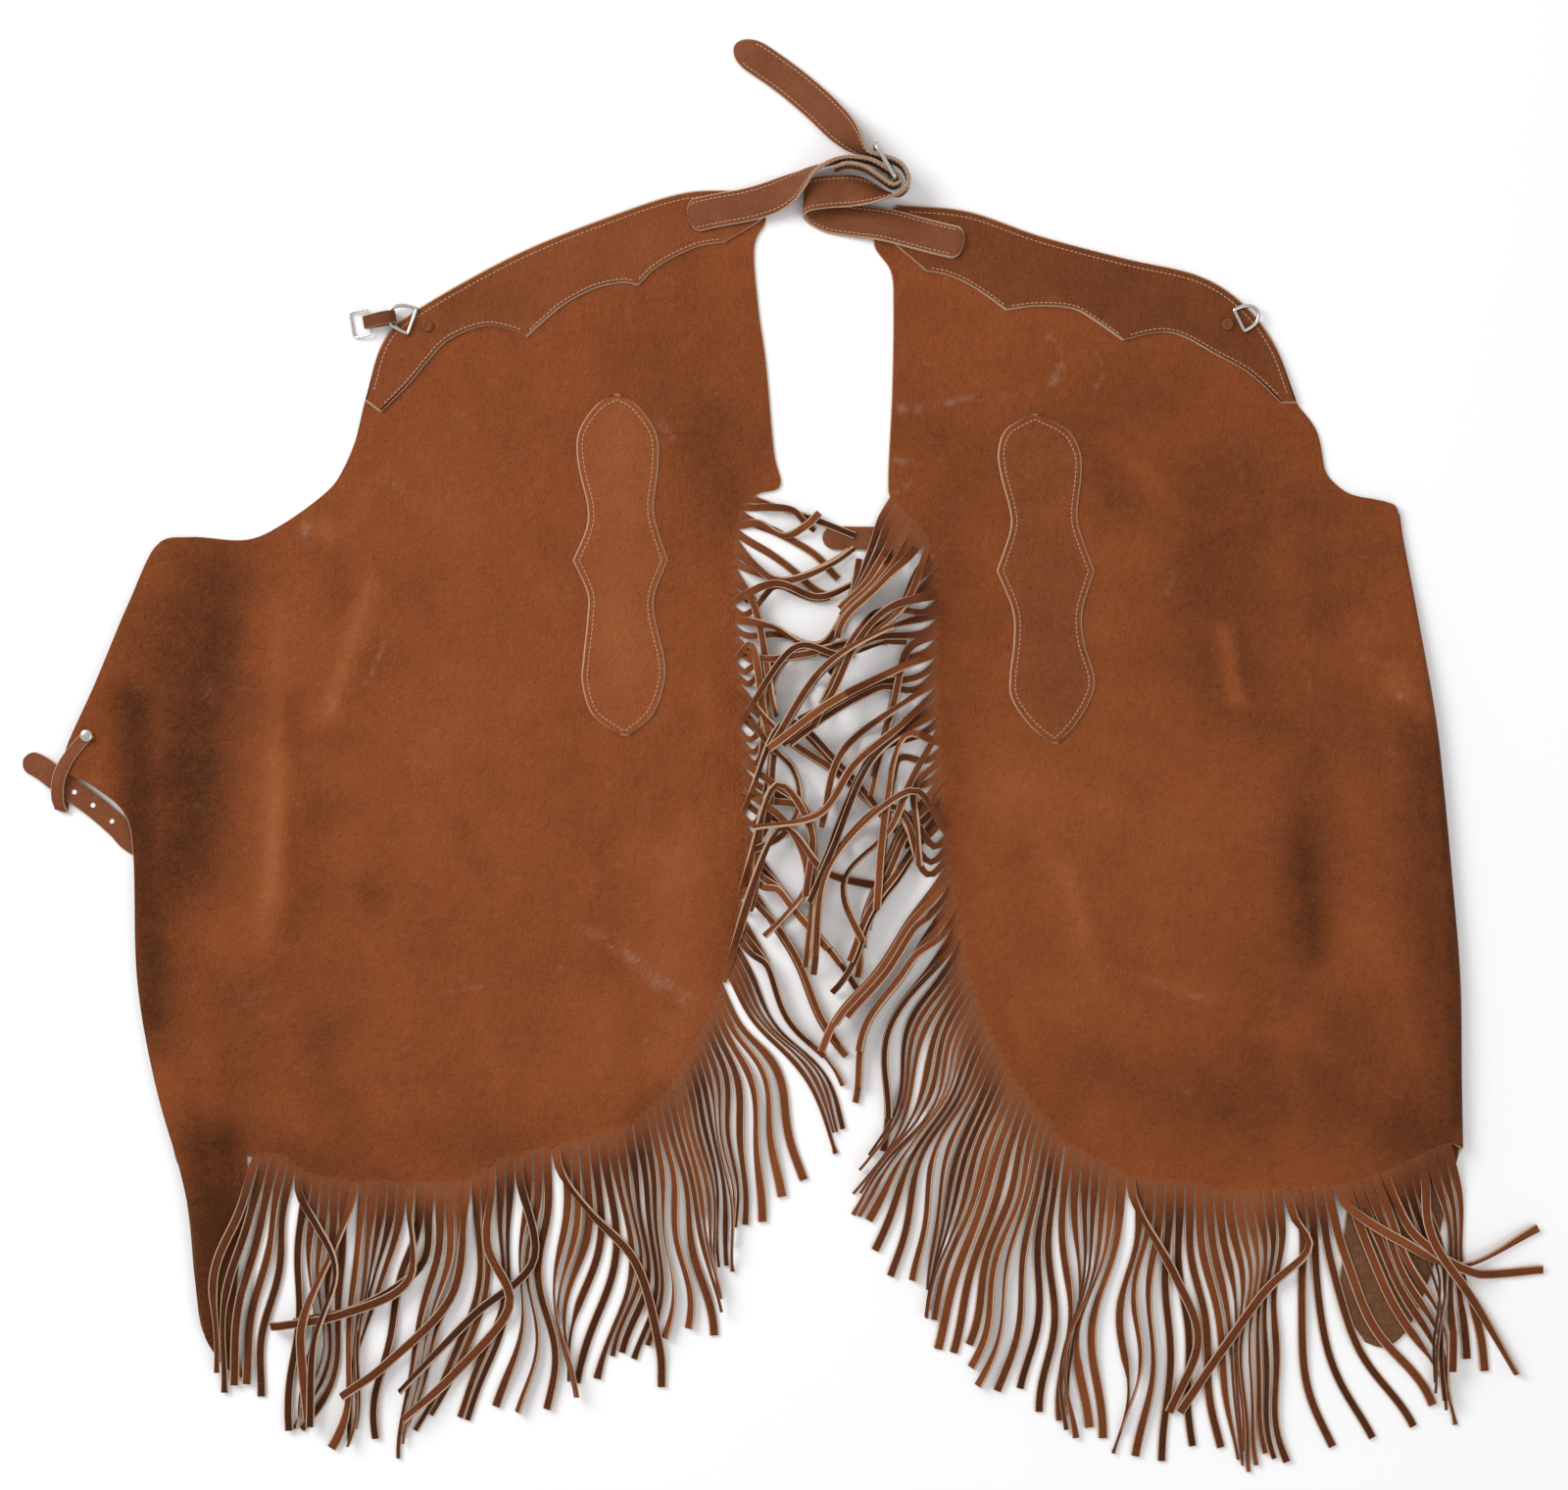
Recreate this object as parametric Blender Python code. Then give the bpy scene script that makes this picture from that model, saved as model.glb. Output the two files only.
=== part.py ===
"""Fringed leather riding chaps, laid flat with the front side up.

Two leg panels, a scalloped yoke on each, a sewn patch on each thigh, a waist strap with its
buckle, hip rings, leg straps, and fringe cut from the inner edges and hems.
Tables are in millimetres: x to the right, y towards the waist, seen from above.
"""
import math

import bmesh
import bpy
import numpy as np

MM = 0.001

# Driving dimensions, millimetres
LEATHER = 2.2
GAP = 0.35
PATCH_THICK = 1.6
STRAP_WIDTH = 25.4
STRAP_THICK = 2.6
LEG_STRAP_WIDTH = 16.5
LEG_STRAP_THICK = 2.0
HIP_STRAP_WIDTH = 10.0
HIP_STRAP_THICK = 1.7
HIP_STRAP_START = (-298.5, 331.2)
HIP_STRAP_HEADING = 190.0
SMALL_BUCKLE_WIDTH = 20.0
SMALL_BUCKLE_WIRE = 1.1
FRINGE_BACKING = 5.0
BACKING_GAP = 0.7
CORNER_EASE = 16.0
FRINGE_THICK = 1.8
FRINGE_WIDTH = 4.8
FRINGE_SLIT = 0.9
STRANDS_A_LEG = 112
INNER_SHARE = 0.6
RING_WIRE = 1.5
BUCKLE_WIRE = 1.6
RIVET_RADIUS = 4.8
FOLD_RADIUS = 5.5
FOLD_START_RADIUS = 1.6
PANEL_ACROSS = 16
PANEL_DOWN = 22
PLAIN_ROWS = 7
FLAP_ACROSS = 6
STRAND_STATIONS = (0.0, 0.1, 0.36, 0.68, 1.0)
CROSSING_STATIONS = (0.0, 0.08, 0.22, 0.38, 0.54, 0.7, 0.85, 1.0)

# Edges of the left leg, in order from the waist down, columns x, y
LEFT_TOP = [(-319, 268), (-306, 312), (-282, 336), (-208, 378), (-138, 407), (-76, 427), (-26, 429)]
LEFT_INNER = [
    (-26, 429), (-12, 408), (-21, 386), (-18, 340), (-12, 296), (-6, 230), (-1, 203), (-20, 196),
    (-31, 178), (-35, 144), (-36, 114), (-34, 60), (-31, 4), (-28, -72), (-31, -102), (-38, -146),
    (-47, -182), (-58, -205), (-74, -236), (-90, -262), (-112, -284),
]
LEFT_FRINGE_START = (-20, 196)
LEFT_FRINGE_END = 403
LEFT_HEM = [
    (-112, -284), (-130, -292), (-172, -303), (-212, -313), (-250, -331), (-310, -330),
    (-359, -326), (-384, -311), (-409, -310),
]
LEFT_TONGUE = [(-409, -310), (-409, -345), (-415, -395), (-417, -440), (-413, -474), (-408, -482)]
LEFT_OUTER = [
    (-319, 268), (-325, 241), (-336, 215), (-349, 198), (-382, 174), (-410, 162), (-452, 164),
    (-478, 157), (-500, 110), (-525, 50), (-546, 3), (-546, -15), (-524, -28), (-502, -48),
    (-495, -82), (-492, -175), (-478, -255), (-454, -340), (-446, -405), (-440, -445), (-426, -470),
    (-408, -482),
]

# Edges of the right leg
RIGHT_TOP = [
    (394, 266), (377, 311), (352, 343), (318, 364), (262, 377), (198, 394), (142, 413), (88, 418),
]
RIGHT_INNER = [
    (88, 418), (70, 390), (83, 367), (85, 338), (84, 275), (81, 210), (83, 193), (94, 179),
    (105, 168), (112, 155), (117, 128), (117, 60), (120, 4), (124, -62), (131, -115), (137, -150),
    (145, -180), (160, -220), (175, -250), (193, -272), (214, -301),
]
RIGHT_FRINGE_START = (83, 193)
RIGHT_FRINGE_END = 512
RIGHT_HEM = [
    (214, -301), (240, -313), (270, -327), (310, -332), (345, -338), (385, -336), (420, -332),
    (455, -322), (482, -310), (506, -299), (519, -303),
]
RIGHT_OUTER = [
    (394, 266), (409, 245), (415, 216), (424, 204), (437, 196), (461, 191), (470, 186), (474, 162),
    (485, 102), (498, 27), (504, -25), (511, -100), (517, -175), (518, -250), (519, -303),
]
STRAND_LOOK_AROUND = 20.0
FOLD_TOP_Y = 184.0
RIGHT_FLAP_EDGE = [
    (466, 182), (440, 165), (398, 128), (362, 70), (345, 0), (352, -40), (378, -78), (408, -115),
    (432, -165), (440, -215), (438, -290), (430, -370), (428, -420), (446, -452),
]
RIGHT_FLAP_FOOT = [(519, -303), (508, -345), (498, -395), (480, -440), (462, -456), (446, -452)]

# Scalloped lower edges of the yokes, runs between cusps
LEFT_YOKE_EDGE = [
    [(-44, 389), (-63, 386), (-82, 378), (-98, 368), (-110, 356)],
    [(-110, 356), (-122, 358), (-142, 354), (-164, 343), (-178, 332), (-195, 316.5)],
    [(-195, 316.5), (-207, 322), (-228, 325), (-254, 315), (-270, 299), (-285, 281), (-307, 259)],
]
RIGHT_YOKE_EDGE = [
    [(110, 367), (126, 364), (142, 357), (156, 348), (171, 337)],
    [(171, 337), (196, 340), (222, 338), (240, 328), (260, 314)],
    [(260, 314), (287, 320), (306, 317), (330, 304), (357, 289), (382, 266)],
]

# Thigh patches, rows down the middle line: y, left x, right x
LEFT_PATCH = [
    (273, -128, -124), (264, -143, -110), (243, -156, -96), (219, -156, -94.5), (188, -149, -98),
    (170, -150, -95), (146, -160, -87), (121, -149, -97), (102, -149, -97), (72, -152, -90),
    (52, -153, -90), (28, -145, -99), (12, -124, -117),
]
RIGHT_PATCH = [
    (258, 191, 195), (246, 171, 218), (229, 165, 228), (211, 167, 229), (184, 174, 226),
    (168, 174, 228), (138, 164, 239), (108, 176, 230), (84, 177, 231), (57, 174, 239),
    (40, 175.5, 236), (20, 189, 224), (6, 206, 211),
]

# Soft ridges of the lying leather: start x, y, end x, y, height, half width
LEFT_RIDGES = [
    (-540, 20, -498, -110, 9.0, 34.0),
    (-498, 105, -540, 20, 9.0, 34.0),
    (-470, 150, -498, 105, 6.0, 30.0),
    (-492, -110, -455, -300, 8.0, 30.0),
    (-455, -300, -430, -430, 7.0, 28.0),
    (-320, 120, -345, 25, 4.0, 26.0),
    (-375, -20, -398, -150, 4.5, 30.0),
    (-250, -120, -300, -260, 3.0, 34.0),
    (-150, -120, -95, -190, 3.0, 30.0),
]
RIGHT_RIDGES = [
    (330, 100, 345, 30, 3.0, 34.0),
    (220, -80, 240, -180, 3.0, 34.0),
    (330, -150, 350, -260, 3.0, 34.0),
]

# Waist strap stations: x, y, lowest edge z, heading of the width, its rise in degrees
LEFT_WAIST = [
    (-72, 408, 5.1, -77, 0), (-50, 413, 5.1, -77, 0), (-28, 417, 5.1, -77, 0), (-10, 422, 5.1, -75, 3),
    (4, 428, 3.6, -70, 24), (14, 435, 2.6, -66, 52), (24, 443, 2.6, -70, 74), (36, 448, 3.0, -80, 88),
    (48, 451, 3.6, -85, 90), (60, 450.5, 4.2, -90, 90), (70, 448, 4.2, -115, 90),
    (79, 442.8, 4.2, -135, 90),
    (85.2, 438.6, 4.2, -130, 90), (88.9, 436.4, 4.2, 170, 90), (89.3, 432.8, 4.2, 150, 90),
    (86.4, 430.5, 4.2, 90, 90), (82, 431, 4.2, 60, 90), (72, 438, 4.2, 50, 90), (62, 444, 4.0, 70, 90),
    (50, 446.3, 3.8, 95, 90), (40, 443.5, 3.6, 100, 90),
]
RIGHT_WAIST = [
    (139, 387, 5.1, -104, 0), (110, 394, 5.1, -104, 0), (88, 400, 5.1, -104, 0), (74, 403, 5.0, -103, 0),
    (56, 405.5, 2.4, -101, 0), (36, 409, 0.6, -98, 0), (24, 414.5, 0.5, -96, 0), (19.3, 418.5, 2.8, -95, 0),
    (17.6, 421, 6.6, -94, 0), (19.3, 423.2, 10.4, -93, 0), (25, 425, 12.6, -92, 0),
    (36, 426.5, 12.4, -90, 0),
    (48, 427, 11.6, -90, 4), (60, 426.5, 8.6, -88, 24), (72, 425, 5.8, -80, 52), (82, 423.5, 4.4, -75, 76),
    (90, 424.5, 4.2, -75, 90), (95.5, 430, 4.2, 50, 90), (95.5, 438, 4.2, 50, 90), (91.5, 445, 4.2, 50, 90),
    (85.5, 449, 4.2, 50, 90), (79, 451.2, 4.2, 50, 90), (72, 453, 4.2, 50, 90), (65, 455.5, 4.2, 52, 88),
    (59, 460.5, 4.0, 53, 70), (51.5, 469, 3.6, 53, 42), (41, 480, 2.6, 52, 16),
    (26, 495, 1.4, 50, 4), (4, 513.5, 0.6, 51, 0),
    (-18, 529, 0.5, 55, 0), (-36, 540, 0.5, 58, 0),
]
BUCKLE_HINGE = (85.6, 434.4)
BUCKLE_FRONT = (70.8, 459.2)
BUCKLE_BOTTOM = 2.2
PRONG_REACH = 5.5

# Left leg strap: x, y, lowest z
LEFT_LEG_STRAP = [
    (-580, -6, 0.6), (-567, -12, 2.0), (-556, -20, 2.7), (-545, -31, 2.7), (-530, -47, 2.7),
    (-512, -61, 1.4), (-498, -68, 0.6), (-484, -75, 0.5),
]
RIGHT_LEG_STRAP = [(31, 163.5, 0.5), (44, 163.3, 0.5), (62, 163, 0.5), (80, 163, 0.5), (98, 163, 0.5)]

# Hip strap seen from its edge: distance from the ring, height of its middle
HIP_STRAP_PATH = [
    (-2.9, 6.8), (-2.9, 11.0), (1.4, 14.7), (8, 14.5), (14, 10.5), (18.5, 7.7), (20.9, 5.2), (19.5, 2.4),
    (14, 1.4), (6, 1.4), (1.0, 1.5), (-2.3, 3.0),
]

# Keeper of the left leg strap: x, y, z of the middle
KEEPER = [
    (-529, 13, 12.3), (-537, 4, 12.25), (-546, -8, 12.2), (-552, -22, 10.5), (-553, -36, 8.0),
    (-551.5, -43, 5.2), (-551, -45, 2.9), (-550, -40, 1.4), (-548, -25, 1.3), (-540, -6, 1.8),
    (-531, 8, 2.4),
]
KEEPER_WIDTH = 10.0
KEEPER_THICK = 1.7

# Fringe of a leg, rows along its root line: share, heading at the root, at the tip, length
LEFT_FRINGE = [
    (0.00, -30, -12, 80), (0.06, -38, -22, 92), (0.12, -46, -34, 108), (0.20, -50, -42, 130),
    (0.30, -54, -52, 150), (0.42, -60, -64, 165), (0.52, -72, -82, 172), (0.60, -80, -93, 180),
    (0.70, -86, -97, 196), (0.80, -88, -98, 204), (0.90, -87, -97, 196), (1.00, -88, -91, 180),
]
RIGHT_FRINGE = [
    (0.00, -122, -118, 84), (0.05, -130, -128, 100), (0.12, -134, -130, 128), (0.22, -132, -124, 150),
    (0.34, -126, -116, 172), (0.46, -120, -110, 190), (0.56, -110, -102, 200), (0.66, -96, -93, 204),
    (0.76, -88, -88, 208), (0.84, -80, -80, 206), (0.92, -68, -76, 190), (1.00, -72, -92, 170),
]

# Strands that cross over the rest: share of their root, then the points that they pass
LEFT_CROSSING = [
    (0.10, [(-5, 128), (28, 118), (58, 130)]),
    (0.16, [(-22, 80), (-14, 30), (-6, -2)]),
    (0.22, [(8, 78), (44, 74), (78, 84)]),
    (0.30, [(2, 22), (46, -12), (90, -64)]),
    (0.38, [(-6, -26), (22, -60), (18, -110)]),
    (0.46, [(-4, -60), (34, -92), (78, -104)]),
    (0.75, [(-146, -330), (-112, -390), (-92, -485)]),
    (0.90, [(-342, -380), (-366, -440), (-362, -510)]),
]
RIGHT_CROSSING = [
    (0.06, [(92, 110), (50, 72), (24, 20)]),
    (0.12, [(78, 92), (30, 62), (-8, 4)]),
    (0.18, [(98, 40), (46, 0), (30, -58)]),
    (0.24, [(92, 10), (78, -50), (72, -120)]),
    (0.32, [(96, -30), (36, -88), (24, -170)]),
    (0.70, [(300, -400), (318, -450), (296, -505)]),
    (0.84, [(402, -380), (364, -418), (304, -505)]),
    (0.89, [(470, -372), (520, -392), (578, -364)]),
    (0.93, [(486, -372), (530, -398), (582, -396)]),
    (0.965, [(496, -372), (532, -425), (562, -476)]),
]

rng = np.random.default_rng(11)


def start_scene():
    """Removes whatever the scene holds."""
    for old in list(bpy.data.objects):
        bpy.data.objects.remove(old, do_unlink=True)


def material(name, colour, roughness, metallic=0.0):
    """A plain Principled material."""
    found = bpy.data.materials.get(name)
    if found:
        return found
    made = bpy.data.materials.new(name)
    made.use_nodes = True
    shader = made.node_tree.nodes["Principled BSDF"]
    shader.inputs["Base Color"].default_value = (*colour, 1.0)
    shader.inputs["Roughness"].default_value = roughness
    shader.inputs["Metallic"].default_value = metallic
    return made


def spline(points, count):
    """Points along a smooth curve through the given ones, spaced evenly by length."""
    pts = np.array(points, float)
    ends = np.vstack([2 * pts[0] - pts[1], pts, 2 * pts[-1] - pts[-2]])
    t = np.linspace(0, 1, 12, endpoint=False)[:, None]
    runs = []
    for a, b, c, d in zip(ends[:-3], ends[1:-2], ends[2:-1], ends[3:]):
        runs.append(
            0.5 * (2 * b + (c - a) * t + (2 * a - 5 * b + 4 * c - d) * t**2
                   + (3 * b - a - 3 * c + d) * t**3)
        )
    fine = np.vstack([*runs, pts[-1:]])
    return even(fine, count)


def lengths(line):
    """The distance along a line to each of its points."""
    steps = np.linalg.norm(np.diff(line, axis=0), axis=1)
    return np.concatenate([[0], np.cumsum(steps)])


def even(line, count):
    """The line again, with this many points spaced evenly."""
    along = lengths(line)
    at = np.linspace(0, along[-1], count)
    return sample(line, along, at)


def sample(line, along, at):
    """Points of the line at given distances along it."""
    return np.stack([np.interp(at, along, line[:, k]) for k in range(line.shape[1])], axis=-1)


def smooth(x):
    """Rises softly from 0 at 0 to 1 at 1."""
    x = np.clip(x, 0, 1)
    return x * x * (3 - 2 * x)


def distance_to(points, line):
    """How far each plan point is from a line."""
    a, b = line[:-1], line[1:]
    d = b - a
    rel = points[..., None, :] - a
    t = np.clip((rel * d).sum(-1) / np.maximum((d * d).sum(-1), 1e-9), 0, 1)
    return np.linalg.norm(rel - t[..., None] * d, axis=-1).min(-1)


def beside(points, line, gap):
    """The nearest place on a line to each point, moved towards that point by the gap."""
    a, b = line[:-1], line[1:]
    d = b - a
    rel = points[:, None, :] - a
    t = np.clip((rel * d).sum(-1) / np.maximum((d * d).sum(-1), 1e-9), 0, 1)
    near = a + t[..., None] * d
    away = points[:, None, :] - near
    least = np.linalg.norm(away, axis=-1).argmin(axis=1)
    rows = np.arange(len(points))
    step = away[rows, least]
    return near[rows, least] + step / np.linalg.norm(step, axis=1, keepdims=True) * gap


def ridge_height(points, ridges):
    """Height of the leather's soft ridges: each falls off like a bell from its middle line."""
    height = np.zeros(points.shape[:-1])
    for x0, y0, x1, y1, rise, half in ridges:
        away = distance_to(points, np.array([(x0, y0), (x1, y1)], float))
        height = np.maximum(height, rise * np.exp(-((away / half) ** 2)))
    return height


def coons(top, bottom, first, last):
    """Fills four edges with a grid: first and last run down, top and bottom run across."""
    u = np.linspace(0, 1, len(top))[:, None, None]
    v = np.linspace(0, 1, len(first))[None, :, None]
    across = (1 - v) * top[:, None] + v * bottom[:, None]
    down = (1 - u) * first[None] + u * last[None]
    corners = (
        (1 - u) * (1 - v) * top[0] + u * (1 - v) * top[-1] + (1 - u) * v * bottom[0] + u * v * bottom[-1]
    )
    return across + down - corners


def inward(line, amount):
    """Moves each point of a plan line to its right by its amount."""
    run = np.gradient(line, axis=0)
    run /= np.linalg.norm(run, axis=1, keepdims=True)
    right = np.stack([run[:, 1], -run[:, 0]], axis=1)
    return line + right * np.asarray(amount)[:, None]


def grid_faces(nu, nv, base=0):
    """Quads of a grid of nu by nv points, numbered from base."""
    i, j = np.meshgrid(np.arange(nu - 1), np.arange(nv - 1), indexing="ij")
    a = base + i * nv + j
    return np.stack([a, a + nv, a + nv + 1, a + 1], axis=-1).reshape(-1, 4).tolist()


def thicken(points, faces, thick):
    """Closed wall of even thickness on both sides of a sheet of quads."""
    points = np.asarray(points, float)
    quads = np.array(faces)
    across = points[quads[:, 2]] - points[quads[:, 0]]
    down = points[quads[:, 3]] - points[quads[:, 1]]
    normals = np.zeros_like(points)
    np.add.at(normals, quads.ravel(), np.repeat(np.cross(across, down), 4, axis=0))
    normals /= np.linalg.norm(normals, axis=1, keepdims=True)
    count = len(points)
    both = np.vstack([points + normals * thick / 2, points - normals * thick / 2])
    uses = {}
    for face in faces:
        for a, b in zip(face, face[1:] + face[:1]):
            uses[(a, b)] = uses.get((a, b), 0) + 1
    rim = [(a, b) for a, b in uses if (b, a) not in uses]
    walls = [(b, a, a + count, b + count) for a, b in rim]
    under = [tuple(count + k for k in reversed(face)) for face in faces]
    return both, [tuple(face) for face in faces] + under + walls


def add_object(name, points, faces, look, shaded=False):
    """Makes one closed object from points in millimetres."""
    mesh = bpy.data.meshes.new(name)
    mesh.from_pydata((np.asarray(points) * MM).tolist(), [], faces)
    work = bmesh.new()
    work.from_mesh(mesh)
    bmesh.ops.recalc_face_normals(work, faces=work.faces)
    work.to_mesh(mesh)
    work.free()
    made = bpy.data.objects.new(name, mesh)
    bpy.context.scene.collection.objects.link(made)
    mesh.materials.append(look)
    if shaded:
        mesh.shade_smooth()
    return made


class Ground:
    """Height of everything that lies under a point of the plan, in square cells."""

    CELL = 1.0

    def __init__(self):
        self.low = np.array([-620.0, -600.0])
        self.size = (1260, 1200)
        self.top = np.zeros(self.size)

    def cells(self, points):
        """Cell numbers of plan points."""
        at = np.floor((points - self.low) / self.CELL).astype(int)
        return np.clip(at[..., 0], 0, self.size[0] - 1), np.clip(at[..., 1], 0, self.size[1] - 1)

    def lay_grid(self, points, thick):
        """Puts a sheet's grid of middle points on the ground, filled finely."""
        fine = points
        for axis in (0, 1):
            for _ in range(4):
                fine = np.repeat(fine, 2, axis=axis)
                mid = np.take(fine, np.arange(1, fine.shape[axis] - 1, 2), axis=axis)
                nxt = np.take(fine, np.arange(2, fine.shape[axis], 2), axis=axis)
                index = [slice(None)] * 3
                index[axis] = slice(1, fine.shape[axis] - 1, 2)
                fine[tuple(index)] = (mid + nxt) / 2
        i, j = self.cells(fine[..., :2])
        np.maximum.at(self.top, (i.ravel(), j.ravel()), (fine[..., 2] + thick / 2).ravel())

    def lay_band(self, centres, half, top):
        """Puts a band with these centres, half widths and top heights on the ground."""
        points, tops = self.footprint(centres, half, top)
        i, j = self.cells(points)
        np.maximum.at(self.top, (i.ravel(), j.ravel()), tops.ravel())

    def under_band(self, centres, half):
        """Greatest height under a band, for each of its centres."""
        points, _ = self.footprint(centres, half + 1.0, np.zeros(len(centres)))
        i, j = self.cells(points)
        return self.top[i, j].max(axis=1)

    def footprint(self, centres, half, top):
        """Plan points across a band, and its height at each."""
        run = np.gradient(centres, axis=0)
        run /= np.linalg.norm(run, axis=1, keepdims=True) + 1e-9
        side = np.stack([-run[:, 1], run[:, 0]], axis=1)
        steps = np.linspace(-1, 1, 9)[None, :, None]
        points = centres[:, None, :] + side[:, None, :] * steps * np.asarray(half).reshape(-1, 1, 1)
        return points, np.repeat(np.asarray(top)[:, None], 9, axis=1)


class Leg:
    """One leg: its panel's edges and the height of its lying leather."""

    def __init__(self, side, top, inner, hem, outer, ridges):
        self.side = side
        self.ridges = ridges
        self.outer = spline(outer, 200)
        self.inner = spline(inner, 200)
        self.hem = hem
        self.top = top
        self.folded = side == "right"
        self.border = None

    def height(self, plan):
        """Middle height of the front leather at plan points."""
        rise = ridge_height(plan, self.ridges)
        if self.folded:
            rise = rise + self.fold_rise(plan)
            strap = ridge_height(plan, [(70, 163, 92, 163, 4.6, 30.0)])
            rise = rise + strap * smooth((150 - plan[..., 0]) / 35)
        flat = smooth((250 - plan[..., 1]) / 40)
        return LEATHER / 2 + rise * flat

    def fold_radius(self, y):
        """The fold opens from a tight crease at its top to its full radius."""
        return FOLD_START_RADIUS + (FOLD_RADIUS - FOLD_START_RADIUS) * smooth((FOLD_TOP_Y - y) / 160)

    def fold_rise(self, plan):
        """The front leather lies on the flap under it, and comes down to the floor beyond the flap."""
        y = plan[..., 1]
        radius = self.fold_radius(y)
        line = self.outer[self.outer[:, 1] < FOLD_TOP_Y + 12]
        away = distance_to(plan, line)
        edge = spline(RIGHT_FLAP_EDGE, 60)
        order = np.argsort(edge[:, 1])
        flap_x = np.interp(y, edge[order, 1], edge[order, 0])
        beyond = np.maximum(flap_x - 12 - plan[..., 0], 0)
        full = 2 * radius * (1 - smooth(beyond / 62))
        lip = np.sqrt(np.clip(1 - np.clip((radius - away) / radius, 0, 1) ** 2, 0, 1))
        shoulder = smooth((FOLD_TOP_Y + 40 - y) / 40)
        return full * (0.5 + 0.5 * lip) * shoulder


def root_line(leg):
    """The line on which the fringe is rooted: down the inner edge, then along the hem."""
    inner = leg.inner[fringe_start(leg):]
    hem = spline(leg.hem, 120)
    hem = hem[np.abs(hem[:, 0]) < (LEFT_FRINGE_END if leg.side == "left" else RIGHT_FRINGE_END)]
    return even(np.vstack([inner, hem[1:]]), 500)


def fringe_start(leg):
    """Where on the inner edge the fringe begins."""
    start = LEFT_FRINGE_START if leg.side == "left" else RIGHT_FRINGE_START
    return int(np.argmin(np.linalg.norm(leg.inner - np.array(start), axis=1)))


def panel_edges(leg, down):
    """Inner edge and hem of the panel itself, kept back by the backing strip where there is fringe."""
    back = (FRINGE_BACKING + GAP) * (1 if leg.side == "left" else -1)
    start = fringe_start(leg)
    above = even(leg.inner[: start - 3], PLAIN_ROWS)
    below = leg.inner[start:]
    below = even(inward(below, np.full(len(below), back)), down + 1 - PLAIN_ROWS)
    hem = spline(leg.hem, 97)
    hem = inward(hem, np.full(len(hem), back))
    corner = (below[-1] + hem[0]) / 2
    below[-1] = corner
    hem[0] = corner
    return np.vstack([above, below]), hem


def panel_sheet(leg, across, down):
    """Grid of the panel's plan points: outer to inner, waist to hem."""
    last, hem = panel_edges(leg, down)
    top = spline(leg.top, across + 1)
    first = spline(LEFT_OUTER if leg.side == "left" else RIGHT_OUTER, down + 1)
    if leg.side == "left":
        tongue = spline(LEFT_TONGUE, 5)[::-1]
        tongue[-1] = hem[-1] + np.array([0.5, -6.0])
        foot = np.vstack([tongue, even(hem[::-1], across - 4)])
    else:
        foot = even(hem[::-1], across + 1)
        first[-1] = foot[0]
    first[0] = top[0]
    last[0] = top[-1]
    foot[0] = first[-1]
    foot[-1] = last[-1]
    leg.border = np.vstack([last[PLAIN_ROWS - 1:], foot[-2::-1]])
    return coons(top, foot, first, last)


def build_left_panel(leg, ground, look):
    """Left leg panel, open and lying on the floor."""
    plan = panel_sheet(leg, PANEL_ACROSS, PANEL_DOWN)
    points = np.dstack([plan, leg.height(plan)])
    ground.lay_grid(points, LEATHER)
    shape = thicken(points.reshape(-1, 3), grid_faces(*points.shape[:2]), LEATHER)
    add_object("left_leg_panel", *shape, look, shaded=True)


def build_right_panel(leg, ground, look):
    """Right leg panel: its outer side is turned under, so a flap lies below the front."""
    plan = panel_sheet(leg, PANEL_ACROSS, PANEL_DOWN)
    points = np.dstack([plan, leg.height(plan)])
    nu, nv = points.shape[:2]
    first = int(np.argmax(points[0, :, 1] < FOLD_TOP_Y))
    fold = points[0, first:]
    rows = nv - first
    radius = leg.fold_radius(fold[:, 1])[:, None]
    points[0, first:, 2] = LEATHER / 2 + radius[:, 0]
    edge = spline(RIGHT_FLAP_EDGE, rows)
    foot = spline(RIGHT_FLAP_FOOT, FLAP_ACROSS + 1)
    top = np.linspace(fold[0, :2], edge[0], FLAP_ACROSS + 1)
    foot[0] = fold[-1, :2]
    flap = coons(top, foot, fold[:, :2], edge)
    away = flap - fold[None, :, :2]
    length = np.linalg.norm(away, axis=-1, keepdims=True) + 1e-9
    first_step = fold[:, :2] + away[1] / length[1] * np.minimum(length[1], radius * 1.0)
    flap[1] = first_step
    height = np.full(flap.shape[:2], LEATHER / 2)
    flap = np.dstack([flap, height])[1:]
    base = nu * nv
    all_points = np.vstack([points.reshape(-1, 3), flap.reshape(-1, 3)])
    faces = grid_faces(nu, nv)
    column = [first + j for j in range(rows)]
    for k in range(flap.shape[0]):
        nxt = [base + k * rows + j for j in range(rows)]
        for j in range(rows - 1):
            faces.append([nxt[j], column[j], column[j + 1], nxt[j + 1]])
        column = nxt
    ground.lay_grid(flap, LEATHER)
    ground.lay_grid(points, LEATHER)
    add_object("right_leg_panel", *thicken(all_points, faces, LEATHER), look, shaded=True)


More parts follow.
